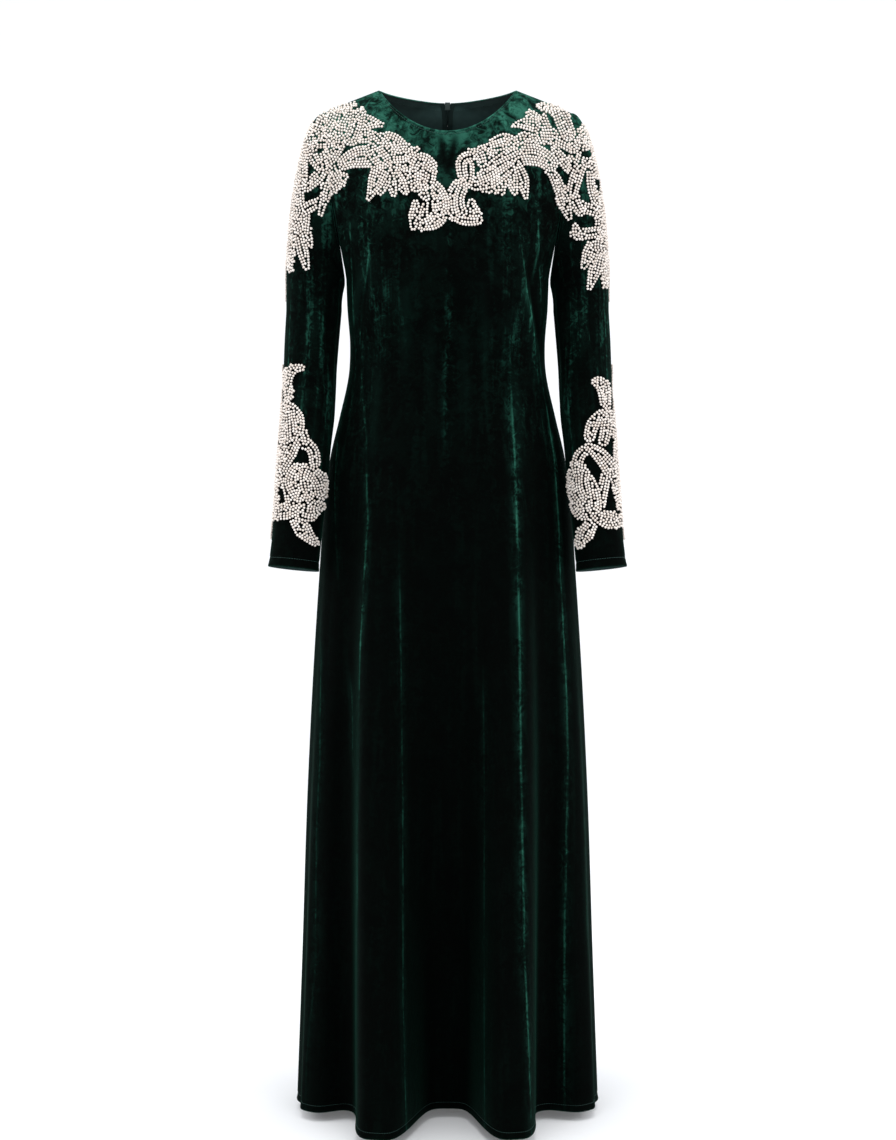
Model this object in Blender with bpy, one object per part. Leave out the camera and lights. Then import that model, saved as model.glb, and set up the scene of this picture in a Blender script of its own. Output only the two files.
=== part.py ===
"""A-line velvet maxi dress with long set-in sleeves, a centre-back zip and raised beadwork.

Metres, +Z up. The front faces -Y and the wearer's right hand is at -X. The origin lies midway
between the two points where the shoulder seams meet the neckline: the shoulders carry the dress.
Heights are given as a drop below that point.
"""

import itertools
import math

import bmesh
import bpy
import numpy as np
from mathutils import Matrix
from mathutils.bvhtree import BVHTree

# Cloth and making
CLOTH = 0.0016
SEAM_GAP = 0.0003
NECK_HALF_WIDTH = 0.094
SHOULDER_HALF_WIDTH = 0.172
SHOULDER_DROP = 0.030
FRONT_NECK_DROP = 0.065
BACK_NECK_DROP = 0.011
NECK_CURVE = 0.82
UNDERARM_DROP = 0.262
HEM_DROP = 1.419
ARMHOLE_FRONT_SCOOP = 0.052
ARMHOLE_BACK_SCOOP = 0.045
ARMHOLE_ROUNDNESS = 0.55
MOST_SCOOP_SHARE = 0.97
SHOULDER_ROUNDING = 0.050
NAPE_ROUNDING = 0.014
ZIP_END_DROP = 0.560

# How finely the cloth is divided. The spreads draw rows together towards the shoulder or waist.
PANEL_COLUMNS = 40
ARMHOLE_ROWS = 10
ARMHOLE_ROW_SPREAD = 1.35
SKIRT_ROWS = 9
SKIRT_ROW_SPREAD = 1.4
RING_SAMPLES = 721
COLUMN_EVENING = 1.6
CAP_ROWS = 6
CAP_ROW_SPREAD = 1.1
SLEEVE_ROWS = 8

# Half width of the armhole line and depth of the chest and back, above the underarm
YOKE = {
    "drop": (0.000, 0.030, 0.060, 0.100, 0.154, 0.210, 0.262),
    "armhole": (0.172, 0.172, 0.1695, 0.1655, 0.159, 0.150, 0.141),
    "front": (0.046, 0.062, 0.078, 0.096, 0.112, 0.122, 0.128),
    "back": (0.058, 0.061, 0.074, 0.090, 0.101, 0.106, 0.105),
}

# Half width and depths of the body and skirt, below the underarm
BODY = {
    "drop": (0.262, 0.303, 0.353, 0.387, 0.454, 0.504, 0.568, 0.672, 0.793, 0.963, 1.220, 1.419),
    "width": (0.141, 0.1395, 0.136, 0.1372, 0.1512, 0.1632, 0.172, 0.180, 0.188, 0.197, 0.2065, 0.2141),
    "front": (0.128, 0.125, 0.112, 0.106, 0.105, 0.108, 0.112, 0.116, 0.117, 0.114, 0.107, 0.100),
    "back": (0.105, 0.099, 0.087, 0.084, 0.094, 0.106, 0.116, 0.122, 0.124, 0.126, 0.128, 0.130),
}

# Folds of the skirt. Angles are in degrees round the body from centre front, positive to +X.
# Sway is how far a fold's angle has moved where it starts, and aim is the way it stands out.
FOLDS = {
    "angle": (0, -24.5, 23, -42, 41, -60, 61, 180, 152, -154, 121, -120),
    "half_width": (9, 11.2, 10.6, 6, 6, 10, 10, 9, 11, 11, 12, 12),
    "depth": (-0.046, 0.112, 0.108, -0.012, -0.014, 0.020, 0.018, -0.040, 0.078, 0.074, 0.036, 0.038),
    "sway": (0, -7, 7, -5, 5, -2, 2, 0, -5, 5, -2, 2),
    "aim": (0, -4, 4, -42, 41, -30, 30, 180, 172, -172, 166, -166),
    "start": (0.52, 0.43, 0.43, 0.60, 0.60, 0.55, 0.55, 0.60, 0.50, 0.50, 0.58, 0.58),
}
FOLD_GROWTH = 1.15

# Centre and half sizes of the sleeve, from the underarm to the cuff
SLEEVE = {
    "drop": (0.305, 0.353, 0.387, 0.420, 0.454, 0.487, 0.554, 0.620, 0.661),
    "out": (0.1860, 0.1893, 0.1910, 0.1920, 0.1942, 0.1972, 0.2022, 0.2078, 0.2120),
    "fore": (0.000, 0.005, 0.010, 0.017, 0.026, 0.035, 0.049, 0.059, 0.064),
    "half_width": (0.0386, 0.0378, 0.0370, 0.0368, 0.0366, 0.0356, 0.0346, 0.0338, 0.0345),
    "half_depth": (0.0500, 0.0485, 0.0475, 0.0465, 0.0455, 0.0445, 0.0425, 0.0405, 0.0400),
}
CUFF_TILT = 0.0045
CUFF_SLANT = 0.0035

# Middle of the sleeve's cap, and how the cap leaves the armhole at its top and at the underarm
CAP_AXIS = {
    "drop": (0.050, 0.100, 0.154, 0.210, 0.262, 0.305),
    "out": (0.148, 0.162, 0.171, 0.178, 0.183, 0.186),
}
CAP_LEAVES_SHOULDER = (1.0, 0.0, -0.36)
CAP_LEAVES_UNDERARM = (0.16, 0.0, -1.0)
CAP_LEAST_RUN = 0.010
CAP_RUN_SHARE = 0.075
CAP_DROP_SHARE = 0.52

# Zip
TAPE_WIDTH = 0.007
TAPE_THICKNESS = 0.0008
NOTCH_HALF_WIDTH = 0.0045
NOTCH_FOOT_HALF_WIDTH = 0.0009
SLIDER_WIDTH = 0.0075
SLIDER_HEIGHT = 0.0110
SLIDER_THICKNESS = 0.0024
SLIDER_BEVEL = 0.0006
SLIDER_ABOVE_NECK = 0.0015
BRIDGE_THICKNESS = 0.0012
BRIDGE_WALL = 0.0010
EYE_DEPTH = 0.0022
EYE_HEIGHT = 0.0036
EYE_BELOW_NECK = 0.0045
EYE_CLEARANCE = 0.0006
TAB_LENGTH = 0.024
TAB_WIDTH = 0.0052
TAB_THICKNESS = 0.0010
TAB_SLOT_WIDTH = 0.0026
TAB_SLOT_LENGTH = 0.0046
TAB_SHOULDER_RUN = 0.0010
TAB_WAIST_RUN = 0.0040
TAB_WAIST_HALF_WIDTH = 0.0016
TAB_FOOT_RADIUS = 0.0030
TAB_STANDOFF = 0.0016

# Beadwork: raised pads, drawn as strokes that run from a start over a bend to an end.
# Millimetres. On the chest "x" is the distance from centre front. On a sleeve it is the way
# round from the sleeve's front line towards its outer side, which lies at 63.
# "y" is the drop. The three widths are those at the start, middle and end.
BEAD_BASE = 0.0014
BEAD_CROWN = 0.0014
BEAD_CROWN_RUN = 0.005
BEAD_CELL = 0.0108
BEAD_CLEARANCE = 0.0006
SLEEVE_ROUND = 0.040
BEYOND_SLEEVE = 0.150
STROKE_SAMPLES = 9
SHORTEST_CUT = 0.14
STROKE_COLUMNS = ("x0", "y0", "x1", "y1", "x2", "y2", "wide0", "wide1", "wide2")

CHEST_RIGHT = (
    (32, 111, -2, 149, 25, 190, 20, 22, 20),
    (22, 188, 44, 197, 39, 166, 20, 16, 12),
    (22, 142, 36, 143, 33, 154, 12, 16, 12),
    (38, 111, 35, 113, 32, 117, 28, 30, 28),
    (44, 130, 88, 108, 137, 103, 30, 34, 26),
    (95, 94, 69, 76, 55, 87, 20, 24, 7),
    (73, 100, 54, 97, 39, 91, 20, 18, 6),
    (153, 80, 134, 71, 107, 77, 22, 24, 16),
    (126, 67, 125, 55, 112, 42, 26, 24, 6),
    (118, 67, 103, 59, 88, 59, 22, 18, 7),
    (104, 68, 95, 71, 95, 88, 14, 14, 16),
    (92, 109, 91, 132, 109, 160, 28, 24, 5),
    (90, 120, 86, 135, 88, 151, 20, 16, 8),
    (69, 120, 72, 135, 74, 151, 26, 22, 8),
    (54, 123, 58, 135, 64, 149, 24, 20, 8),
    (44, 134, 48, 142, 52, 148, 20, 16, 8),
    (156, 76, 154, 58, 149, 43, 16, 18, 11),
    (147, 52, 137, 43, 124, 37, 15, 12, 6),
    (145, 108, 141, 126, 151, 148, 18, 22, 8),
)

CHEST_LEFT = (
    (27, 130, -3, 160, 25, 186, 20, 21, 20),
    (25, 185, 44, 193, 38, 163, 20, 16, 12),
    (26, 106, 32, 101, 39, 106, 26, 28, 26),
    (24, 116, 29, 130, 38, 132, 22, 24, 26),
    (38, 132, 72, 103, 97, 101, 26, 26, 30),
    (97, 101, 122, 94, 139, 109, 28, 26, 21),
    (59, 103, 75, 76, 86, 80, 18, 24, 13),
    (68, 95, 56, 95, 44, 89, 18, 16, 6),
    (86, 82, 97, 76, 104, 71, 14, 14, 14),
    (121, 71, 125, 57, 112, 44, 26, 22, 6),
    (128, 68, 132, 57, 133, 47, 22, 18, 7),
    (118, 68, 107, 61, 92, 59, 20, 15, 6),
    (115, 71, 111, 80, 107, 83, 22, 20, 12),
    (132, 71, 148, 75, 154, 84, 18, 18, 16),
    (156, 80, 155, 60, 150, 43, 14, 16, 11),
    (152, 46, 139, 39, 126, 38, 12, 11, 6),
    (97, 120, 104, 137, 106, 156, 26, 20, 6),
    (89, 123, 91, 137, 89, 149, 22, 18, 8),
    (75, 123, 73, 137, 73, 149, 22, 18, 8),
    (59, 127, 59, 141, 61, 147, 22, 18, 9),
    (47, 134, 52, 142, 54, 146, 20, 15, 9),
    (138, 116, 144, 136, 149, 148, 12, 13, 12),
)

SHOULDER_RIGHT = (
    (60, 62, 66, 140, 60, 252, 19, 26, 16),
    (46, 62, 42, 76, 32, 98, 16, 20, 18),
    (32, 98, 16, 104, 18, 118, 18, 15, 14),
    (18, 118, 32, 126, 44, 112, 14, 14, 16),
    (58, 152, 38, 128, 20, 130, 18, 16, 14),
    (56, 184, 34, 152, 14, 166, 22, 18, 13),
    (58, 206, 42, 208, 26, 196, 20, 18, 10),
    (60, 226, 44, 236, 32, 252, 18, 14, 9),
    (62, 246, 54, 262, 42, 276, 16, 13, 7),
    (62, 246, 72, 262, 78, 280, 16, 13, 7),
    (66, 150, 88, 132, 106, 140, 18, 16, 12),
    (66, 184, 92, 164, 110, 178, 22, 18, 12),
    (64, 214, 82, 220, 98, 212, 18, 16, 9),
    (66, 96, 84, 92, 98, 104, 18, 16, 12),
)

SHOULDER_LEFT = (
    (62, 62, 70, 150, 62, 254, 19, 26, 16),
    (46, 60, 44, 76, 32, 100, 18, 22, 18),
    (44, 102, 54, 112, 66, 112, 18, 16, 16),
    (38, 108, 24, 132, 30, 162, 20, 18, 18),
    (30, 162, 42, 178, 58, 178, 17, 15, 18),
    (28, 150, 16, 164, 12, 184, 14, 14, 8),
    (56, 212, 32, 208, 12, 194, 20, 18, 12),
    (60, 230, 42, 242, 26, 256, 18, 14, 9),
    (62, 250, 50, 270, 40, 288, 16, 13, 7),
    (64, 250, 76, 268, 78, 286, 16, 13, 7),
    (70, 142, 90, 150, 104, 138, 18, 16, 12),
    (70, 180, 94, 176, 108, 190, 22, 18, 12),
    (66, 218, 84, 226, 98, 216, 18, 16, 9),
    (66, 92, 86, 90, 100, 102, 18, 16, 12),
)

CUFF_RIGHT = (
    (14, 386, 36, 382, 37, 424, 12, 16, 13),
    (37, 424, 6, 444, 14, 476, 14, 18, 20),
    (37, 424, 44, 460, 44, 494, 13, 18, 22),
    (63, 382, 62, 430, 58, 482, 11, 13, 18),
    (10, 474, -12, 490, -6, 516, 18, 18, 18),
    (-4, 514, -24, 532, -14, 558, 18, 22, 20),
    (14, 530, 10, 534, 8, 540, 26, 29, 26),
    (44, 494, 30, 525, 34, 566, 22, 16, 22),
    (-16, 556, 0, 574, 20, 574, 20, 22, 22),
    (60, 480, 80, 525, 72, 572, 18, 17, 20),
    (80, 572, 54, 590, 22, 580, 20, 20, 22),
    (14, 586, -8, 604, -30, 624, 18, 23, 13),
    (94, 396, 80, 430, 66, 494, 9, 16, 20),
    (84, 452, 104, 470, 96, 500, 14, 18, 14),
    (96, 500, 106, 536, 84, 572, 14, 18, 20),
    (88, 584, 98, 598, 110, 616, 16, 20, 10),
)

CUFF_LEFT = (
    (26, 392, 30, 412, 30, 440, 15, 13, 15),
    (30, 436, 10, 452, 14, 480, 14, 18, 20),
    (31, 436, 46, 462, 44, 496, 13, 18, 22),
    (63, 396, 62, 436, 58, 484, 11, 13, 18),
    (12, 478, -10, 494, -6, 520, 20, 18, 18),
    (-4, 516, -26, 536, -14, 562, 18, 22, 20),
    (14, 534, 10, 538, 8, 544, 26, 29, 26),
    (44, 496, 34, 528, 36, 570, 22, 16, 22),
    (-16, 560, 0, 578, 20, 578, 20, 22, 22),
    (60, 482, 80, 528, 72, 576, 18, 17, 20),
    (80, 576, 54, 596, 22, 584, 20, 20, 22),
    (12, 590, -8, 610, -26, 630, 18, 24, 14),
    (92, 402, 80, 436, 66, 496, 10, 16, 20),
    (84, 456, 102, 474, 96, 504, 14, 18, 14),
    (96, 504, 106, 540, 84, 576, 14, 18, 20),
    (88, 588, 98, 604, 108, 620, 16, 20, 10),
)

# Finish of each piece: colour, roughness, metallic
FINISHES = {
    "velvet": ((0.006, 0.045, 0.034, 1.0), 0.85, 0.0),
    "zip_tape": ((0.010, 0.022, 0.020, 1.0), 0.80, 0.0),
    "zip_metal": ((0.060, 0.080, 0.075, 1.0), 0.35, 0.8),
    "beadwork": ((0.720, 0.640, 0.580, 1.0), 0.30, 0.0),
}


def clear_scene():
    for old in list(bpy.data.objects):
        bpy.data.objects.remove(old, do_unlink=True)


def new_collection(name):
    made = bpy.data.collections.new(name)
    bpy.context.scene.collection.children.link(made)
    return made


def material_for(piece, finish):
    colour, roughness, metallic = FINISHES[finish]
    made = bpy.data.materials.new(piece)
    made.use_nodes = True
    shader = made.node_tree.nodes["Principled BSDF"]
    shader.inputs["Base Color"].default_value = colour
    shader.inputs["Roughness"].default_value = roughness
    shader.inputs["Metallic"].default_value = metallic
    made.diffuse_color = colour
    return made


def smooth_value(at, knots, values):
    """A smooth curve through a table's values, flat beyond its ends."""
    knots = np.asarray(knots, float)
    values = np.asarray(values, float)
    slopes = np.gradient(values, knots)
    at = np.clip(np.asarray(at, float), knots[0], knots[-1])
    i = np.clip(np.searchsorted(knots, at, side="right") - 1, 0, len(knots) - 2)
    span = knots[i + 1] - knots[i]
    t = (at - knots[i]) / span
    return (
        values[i] * (1 + 2 * t) * (1 - t) ** 2
        + slopes[i] * span * t * (1 - t) ** 2
        + values[i + 1] * t**2 * (3 - 2 * t)
        + slopes[i + 1] * span * t**2 * (t - 1)
    )


def of_table(table, column, drop):
    return smooth_value(drop, table["drop"], table[column])


def smooth_step(t):
    t = np.clip(t, 0.0, 1.0)
    return t * t * (3 - 2 * t)


def unit(vectors):
    return vectors / np.linalg.norm(vectors, axis=-1, keepdims=True)


def armhole_scoop(drop, face):
    """How far the armhole line stands before (or behind) the side seam's plane."""
    run = np.clip((drop - SHOULDER_DROP) / (UNDERARM_DROP - SHOULDER_DROP), 0.0, 1.0)
    deepest = ARMHOLE_FRONT_SCOOP if face == "front" else ARMHOLE_BACK_SCOOP
    return deepest * np.sin(math.pi * run) ** ARMHOLE_ROUNDNESS


def shoulder_line(x):
    """Drop of the shoulder seam, carried on level across the neck."""
    run = (np.abs(x) - NECK_HALF_WIDTH) / (SHOULDER_HALF_WIDTH - NECK_HALF_WIDTH)
    return SHOULDER_DROP * np.clip(run, 0.0, 1.0)


def neckline_drop(x, face):
    lowest = FRONT_NECK_DROP if face == "front" else BACK_NECK_DROP
    return lowest * (1 - np.clip(np.abs(x) / NECK_HALF_WIDTH, 0.0, 1.0) ** 2) ** NECK_CURVE


def ridge_rounding(x, below, face):
    """Goes from 0 on the shoulder seam to 1 where the cloth has turned over it."""
    radius = SHOULDER_ROUNDING
    if face == "back":
        out = smooth_step(np.abs(x) / NECK_HALF_WIDTH)
        radius = NAPE_ROUNDING + (SHOULDER_ROUNDING - NAPE_ROUNDING) * out
    turned = np.clip(below / radius, 0.0, 1.0)
    return np.sqrt(1 - (1 - turned) ** 2)


def yoke_depth(x, drop, face):
    """How far the cloth stands before (or behind) the shoulder seam, above the underarm."""
    deep = of_table(YOKE, face, drop)
    armhole = of_table(YOKE, "armhole", drop)
    turned_at_edge = ridge_rounding(SHOULDER_HALF_WIDTH, np.maximum(drop - SHOULDER_DROP, 1e-6), face)
    share = np.clip(armhole_scoop(drop, face) / (deep * turned_at_edge), 0.0, MOST_SCOOP_SHARE)
    full_width = armhole / np.sqrt(1 - share**2)
    across = np.sqrt(np.clip(1 - (x / full_width) ** 2, 0.0, 1.0))
    return deep * across * ridge_rounding(x, drop - shoulder_line(x), face)


def skirt_ring(degrees, drop):
    """Points round the body at one height, by angle from centre front."""
    angle = np.radians(degrees)
    front = of_table(BODY, "front", drop)
    back = of_table(BODY, "back", drop)
    deep = np.where(np.cos(angle) > 0, front, back)
    x = of_table(BODY, "width", drop) * np.sin(angle)
    y = -deep * np.cos(angle)
    for i in range(len(FOLDS["angle"])):
        start = FOLDS["start"][i]
        grown = max(0.0, (drop - start) / (HEM_DROP - start)) ** FOLD_GROWTH
        centre = FOLDS["angle"][i] + FOLDS["sway"][i] * (1 - grown)
        away = (degrees - centre + 180) % 360 - 180
        out = FOLDS["depth"][i] * grown * 0.5 ** ((away / FOLDS["half_width"][i]) ** 4)
        aim = math.radians(FOLDS["aim"][i])
        x = x + out * math.sin(aim)
        y = y - out * math.cos(aim)
    return np.stack([x, y, np.full_like(x, -drop)], axis=-1)


def evenly_spaced(line, count, evenness):
    """Picks points along a dense line: by its own parameter, or evenly by length."""
    own = np.linspace(0.0, 1.0, len(line))
    length = np.concatenate([[0], np.cumsum(np.linalg.norm(np.diff(line, axis=0), axis=1))])
    by_length = length / length[-1]
    measure = own * (1 - evenness) + by_length * evenness
    wanted = np.linspace(0.0, 1.0, count)
    return np.stack([np.interp(wanted, measure, line[:, k]) for k in range(3)], axis=-1)


def panel_grid(face):
    """Outer points of the whole front or back, one row for each height, from -X to +X."""
    side = np.linspace(-1.0, 1.0, PANEL_COLUMNS + 1)
    top_x = side * SHOULDER_HALF_WIDTH
    top_drop = np.where(
        np.abs(top_x) < NECK_HALF_WIDTH - 1e-6, neckline_drop(top_x, face), shoulder_line(top_x)
    )
    rows = []
    for i in range(ARMHOLE_ROWS):
        t = (i / ARMHOLE_ROWS) ** ARMHOLE_ROW_SPREAD
        edge_drop = SHOULDER_DROP + (UNDERARM_DROP - SHOULDER_DROP) * t
        drop = top_drop + (UNDERARM_DROP - top_drop) * t
        across = side * (1 - t) + np.sin(side * math.pi / 2) * t
        x = across * of_table(YOKE, "armhole", edge_drop)
        depth = yoke_depth(x, drop, face)
        rows.append(np.stack([x, -depth if face == "front" else depth, -drop], axis=-1))
    for i in range(SKIRT_ROWS + 1):
        t = i / SKIRT_ROWS
        drop = UNDERARM_DROP + (HEM_DROP - UNDERARM_DROP) * t**SKIRT_ROW_SPREAD
        start = -90 if face == "front" else 270
        dense = skirt_ring(np.linspace(start, 90, RING_SAMPLES), drop)
        rows.append(evenly_spaced(dense, PANEL_COLUMNS + 1, smooth_step(t * COLUMN_EVENING)))
    return np.array(rows)


def outward_normals(grid, closed=False):
    """Normals of a grid of points, whose rows run down and whose columns run from -X to +X."""
    down = np.gradient(grid, axis=0)
    if closed:
        along = (np.roll(grid, -1, axis=1) - np.roll(grid, 1, axis=1)) / 2
    else:
        along = np.gradient(grid, axis=1)
    return unit(np.cross(down, along))


def neck_columns():
    """Column numbers of the two neck points."""
    out = round(PANEL_COLUMNS / 2 * NECK_HALF_WIDTH / SHOULDER_HALF_WIDTH)
    return PANEL_COLUMNS // 2 - out, PANEL_COLUMNS // 2 + out


def body_panel(face):
    """Outer points and normals of the front or back, parted from its neighbours at the seams."""
    grid = panel_grid(face)
    toward = -1.0 if face == "front" else 1.0
    normals = outward_normals(grid)
    facing = normals[len(grid) // 2, PANEL_COLUMNS // 2, 1] * toward
    normals = normals * math.copysign(1.0, facing)
    left_neck, right_neck = neck_columns()
    slope = SHOULDER_DROP / (SHOULDER_HALF_WIDTH - NECK_HALF_WIDTH)
    for column in range(PANEL_COLUMNS + 1):
        if left_neck < column < right_neck:
            continue
        sign = math.copysign(1.0, grid[0, column, 0])
        normals[0, column] = unit(np.array([sign * slope, 0.0, 1.0]))
        grid[0, column, 1] += toward * SEAM_GAP / 2
    for edge, sign in ((0, -1.0), (-1, 1.0)):
        low = normals[ARMHOLE_ROWS:, edge]
        low[:, 1] = 0.0
        normals[ARMHOLE_ROWS:, edge] = unit(low)
        grid[ARMHOLE_ROWS:, edge, 1] += toward * SEAM_GAP / 2
    return grid, normals


def wall_mesh(name, outer, normals, thickness, closed=False):
    """A closed sheet between a grid of outer points and the same points moved in."""
    rows, columns = outer.shape[:2]
    inner = outer - normals * thickness
    mesh = bmesh.new()
    front = [[mesh.verts.new(point) for point in row] for row in outer]
    behind = [[mesh.verts.new(point) for point in row] for row in inner]
    last = columns if closed else columns - 1
    for i in range(rows - 1):
        for j in range(last):
            k = (j + 1) % columns
            mesh.faces.new((front[i][j], front[i + 1][j], front[i + 1][k], front[i][k]))
            mesh.faces.new((behind[i][j], behind[i][k], behind[i + 1][k], behind[i + 1][j]))
    for j in range(last):
        k = (j + 1) % columns
        mesh.faces.new((front[0][j], front[0][k], behind[0][k], behind[0][j]))
        mesh.faces.new((front[-1][j], behind[-1][j], behind[-1][k], front[-1][k]))
    if not closed:
        for i in range(rows - 1):
            mesh.faces.new((front[i][0], behind[i][0], behind[i + 1][0], front[i + 1][0]))
            mesh.faces.new((front[i][-1], front[i + 1][-1], behind[i + 1][-1], behind[i][-1]))
    return finished_mesh(name, mesh)


def finished_mesh(name, mesh):
    bmesh.ops.recalc_face_normals(mesh, faces=mesh.faces[:])
    bmesh.ops.triangulate(mesh, faces=mesh.faces[:])
    data = bpy.data.meshes.new(name)
    mesh.to_mesh(data)
    mesh.free()
    data.shade_smooth()
    data.set_sharp_from_angle(angle=math.radians(50))
    return data


def add_piece(dress, name, data, finish):
    data.materials.append(material_for(name, finish))
    made = bpy.data.objects.new(name, data)
    dress.objects.link(made)
    return made


def front_panel(dress):
    grid, normals = body_panel("front")
    data = wall_mesh("front", grid, normals, CLOTH)
    add_piece(dress, "front", data, "velvet")
    return grid, normals


def back_halves(dress):
    """The two back panels, with the notch for the zip's slider at the neck."""
    whole, whole_normals = body_panel("back")
    middle = PANEL_COLUMNS // 2
    halves = {}
    for name, columns, sign in (
        ("back_right", slice(0, middle + 1), -1.0),
        ("back_left", slice(middle, PANEL_COLUMNS + 1), 1.0),
    ):
        grid = whole[:, columns].copy()
        normals = whole_normals[:, columns].copy()
        centre = -1 if sign < 0 else 0
        normals[:, centre, 0] = 0.0
        normals[:, centre] = unit(normals[:, centre])
        grid[:, centre, 0] = sign * SEAM_GAP / 2
        grid[0, centre, 0] = sign * NOTCH_HALF_WIDTH
        grid[1, centre, 0] = sign * NOTCH_FOOT_HALF_WIDTH
        add_piece(dress, name, wall_mesh(name, grid, normals, CLOTH), "velvet")
        halves[name] = (grid, normals)
    return halves


def sleeve_ring(side, drop, turns):
    """Points of the sleeve round one height, from its outer side over the front to the inside."""
    half_width = of_table(SLEEVE, "half_width", drop)
    half_depth = of_table(SLEEVE, "half_depth", drop)
    out = half_width * np.cos(turns)
    fore = half_depth * np.sin(turns)
    low = smooth_step((drop - SLEEVE["drop"][0]) / (SLEEVE["drop"][-1] - SLEEVE["drop"][0])) ** 2
    z = -drop + low * (CUFF_TILT * fore / half_depth + CUFF_SLANT * out / half_width)
    x = side * (of_table(SLEEVE, "out", drop) + out)
    y = -(of_table(SLEEVE, "fore", drop) + fore)
    return np.stack([x, y, z], axis=-1)


def armhole_edge(side, front, backs):
    """Points, normals and seam directions round the armhole, from the shoulder down the front."""
    column = -1 if side > 0 else 0
    back_grid, back_normals = backs["back_left" if side > 0 else "back_right"]
    before = slice(0, ARMHOLE_ROWS + 1)
    behind = slice(ARMHOLE_ROWS - 1, 0, -1)
    points = np.concatenate([front[0][before, column], back_grid[behind, column]])
    normals = np.concatenate([front[1][before, column], back_normals[behind, column]])
    along = np.roll(points, -1, axis=0) - np.roll(points, 1, axis=0)
    away = unit(np.cross(normals, along)) * side
    return points, normals, away


def sleeve_grid(side, front, backs):
    """Outer points of a sleeve: the cap curves from the armhole into rings round the arm."""
    edge, edge_normals, away = armhole_edge(side, front, backs)
    edge[0, 1] = 0.0
    edge[ARMHOLE_ROWS, 1] = 0.0
    around = 2 * ARMHOLE_ROWS
    turns = np.arange(around) * 2 * math.pi / around
    low = ((1 - np.cos(turns)) / 2)[:, None]
    seam = edge + (edge_normals * low + away * (1 - low)) * SEAM_GAP * 2
    first_drop = SLEEVE["drop"][0]
    ring = sleeve_ring(side, first_drop, turns)
    fall = seam[:, 2:3] - ring[:, 2:3]
    outward = np.array([side, 1.0, 1.0])
    leaving = unit(((1 - low) * CAP_LEAVES_SHOULDER + low * CAP_LEAVES_UNDERARM) * outward)
    near = seam + leaving * (CAP_LEAST_RUN + CAP_RUN_SHARE * fall)
    far = ring + np.array([0.0, 0.0, 1.0]) * fall * CAP_DROP_SHARE
    rows = []
    for i in range(CAP_ROWS):
        t = (i / CAP_ROWS) ** CAP_ROW_SPREAD
        rows.append(
            seam * (1 - t) ** 3 + near * 3 * t * (1 - t) ** 2 + far * 3 * t * t * (1 - t) + ring * t**3
        )
    last_drop = SLEEVE["drop"][-1]
    for i in range(SLEEVE_ROWS + 1):
        drop = first_drop + (last_drop - first_drop) * i / SLEEVE_ROWS
        rows.append(sleeve_ring(side, drop, turns))
    return np.array(rows)


def sleeve(dress, name, side, front, backs):
    grid = sleeve_grid(side, front, backs)
    normals = outward_normals(grid, closed=True)
    outer = np.array([side, 0.0, 0.0])
    normals = normals * np.sign(np.sum(normals[-1, 0] * outer))
    add_piece(dress, name, wall_mesh(name, grid, normals, CLOTH, closed=True), "velvet")
    return grid


def zip_tapes(dress, backs):
    """Woven tapes sewn inside both edges of the centre-back seam."""
    for name, half, sign in (
        ("zip_tape_right", "back_right", -1.0),
        ("zip_tape_left", "back_left", 1.0),
    ):
        grid, normals = backs[half]
        centre, beside = (-1, -2) if sign < 0 else (0, 1)
        rows = [i for i in range(len(grid)) if -grid[i, centre, 2] < ZIP_END_DROP]
        inner = grid[rows] - normals[rows] * (CLOTH + SEAM_GAP)
        run = np.linalg.norm(inner[:, beside] - inner[:, centre], axis=1)[:, None]
        near = inner[:, centre] + (inner[:, beside] - inner[:, centre]) * SEAM_GAP / run
        far = inner[:, centre] + (inner[:, beside] - inner[:, centre]) * TAPE_WIDTH / run
        outer = np.stack([near, far], axis=1)
        facing = np.repeat(normals[rows][:, centre][:, None], 2, axis=1)
        data = wall_mesh(name, outer, facing, TAPE_THICKNESS)
        add_piece(dress, name, data, "zip_tape")


def box_mesh(name, centre, size, bevel=0.0, tilt=0.0):
    mesh = bmesh.new()
    bmesh.ops.create_cube(mesh, size=1.0)
    bmesh.ops.scale(mesh, vec=size, verts=mesh.verts)
    if bevel:
        bmesh.ops.bevel(
            mesh, geom=mesh.edges[:], offset=bevel, segments=2, affect="EDGES", profile=0.5
        )
    bmesh.ops.rotate(mesh, matrix=Matrix.Rotation(tilt, 3, "X"), verts=mesh.verts)
    bmesh.ops.translate(mesh, vec=centre, verts=mesh.verts)
    data = bpy.data.meshes.new(name)
    mesh.to_mesh(data)
    mesh.free()
    return data


def nape_points(backs):
    """Outer points of the centre back, from the neck down."""
    grid = backs["back_left"][0]
    return grid[:, 0, 1], grid[:, 0, 2]


def zip_pivot(backs):
    """Place of the pull tab's bar, and the slope of the back below it in radians."""
    y, z = nape_points(backs)
    height = z[0] - EYE_BELOW_NECK
    pivot_y = np.interp(-height, -z, y) + EYE_CLEARANCE + EYE_DEPTH / 2
    behind_tab = np.interp([TAB_LENGTH / 2 - height, TAB_LENGTH - height], -z, y)
    lean = max(behind_tab) - pivot_y + TAB_STANDOFF
    return pivot_y, height, math.atan2(lean, TAB_LENGTH - TAB_FOOT_RADIUS)


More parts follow.
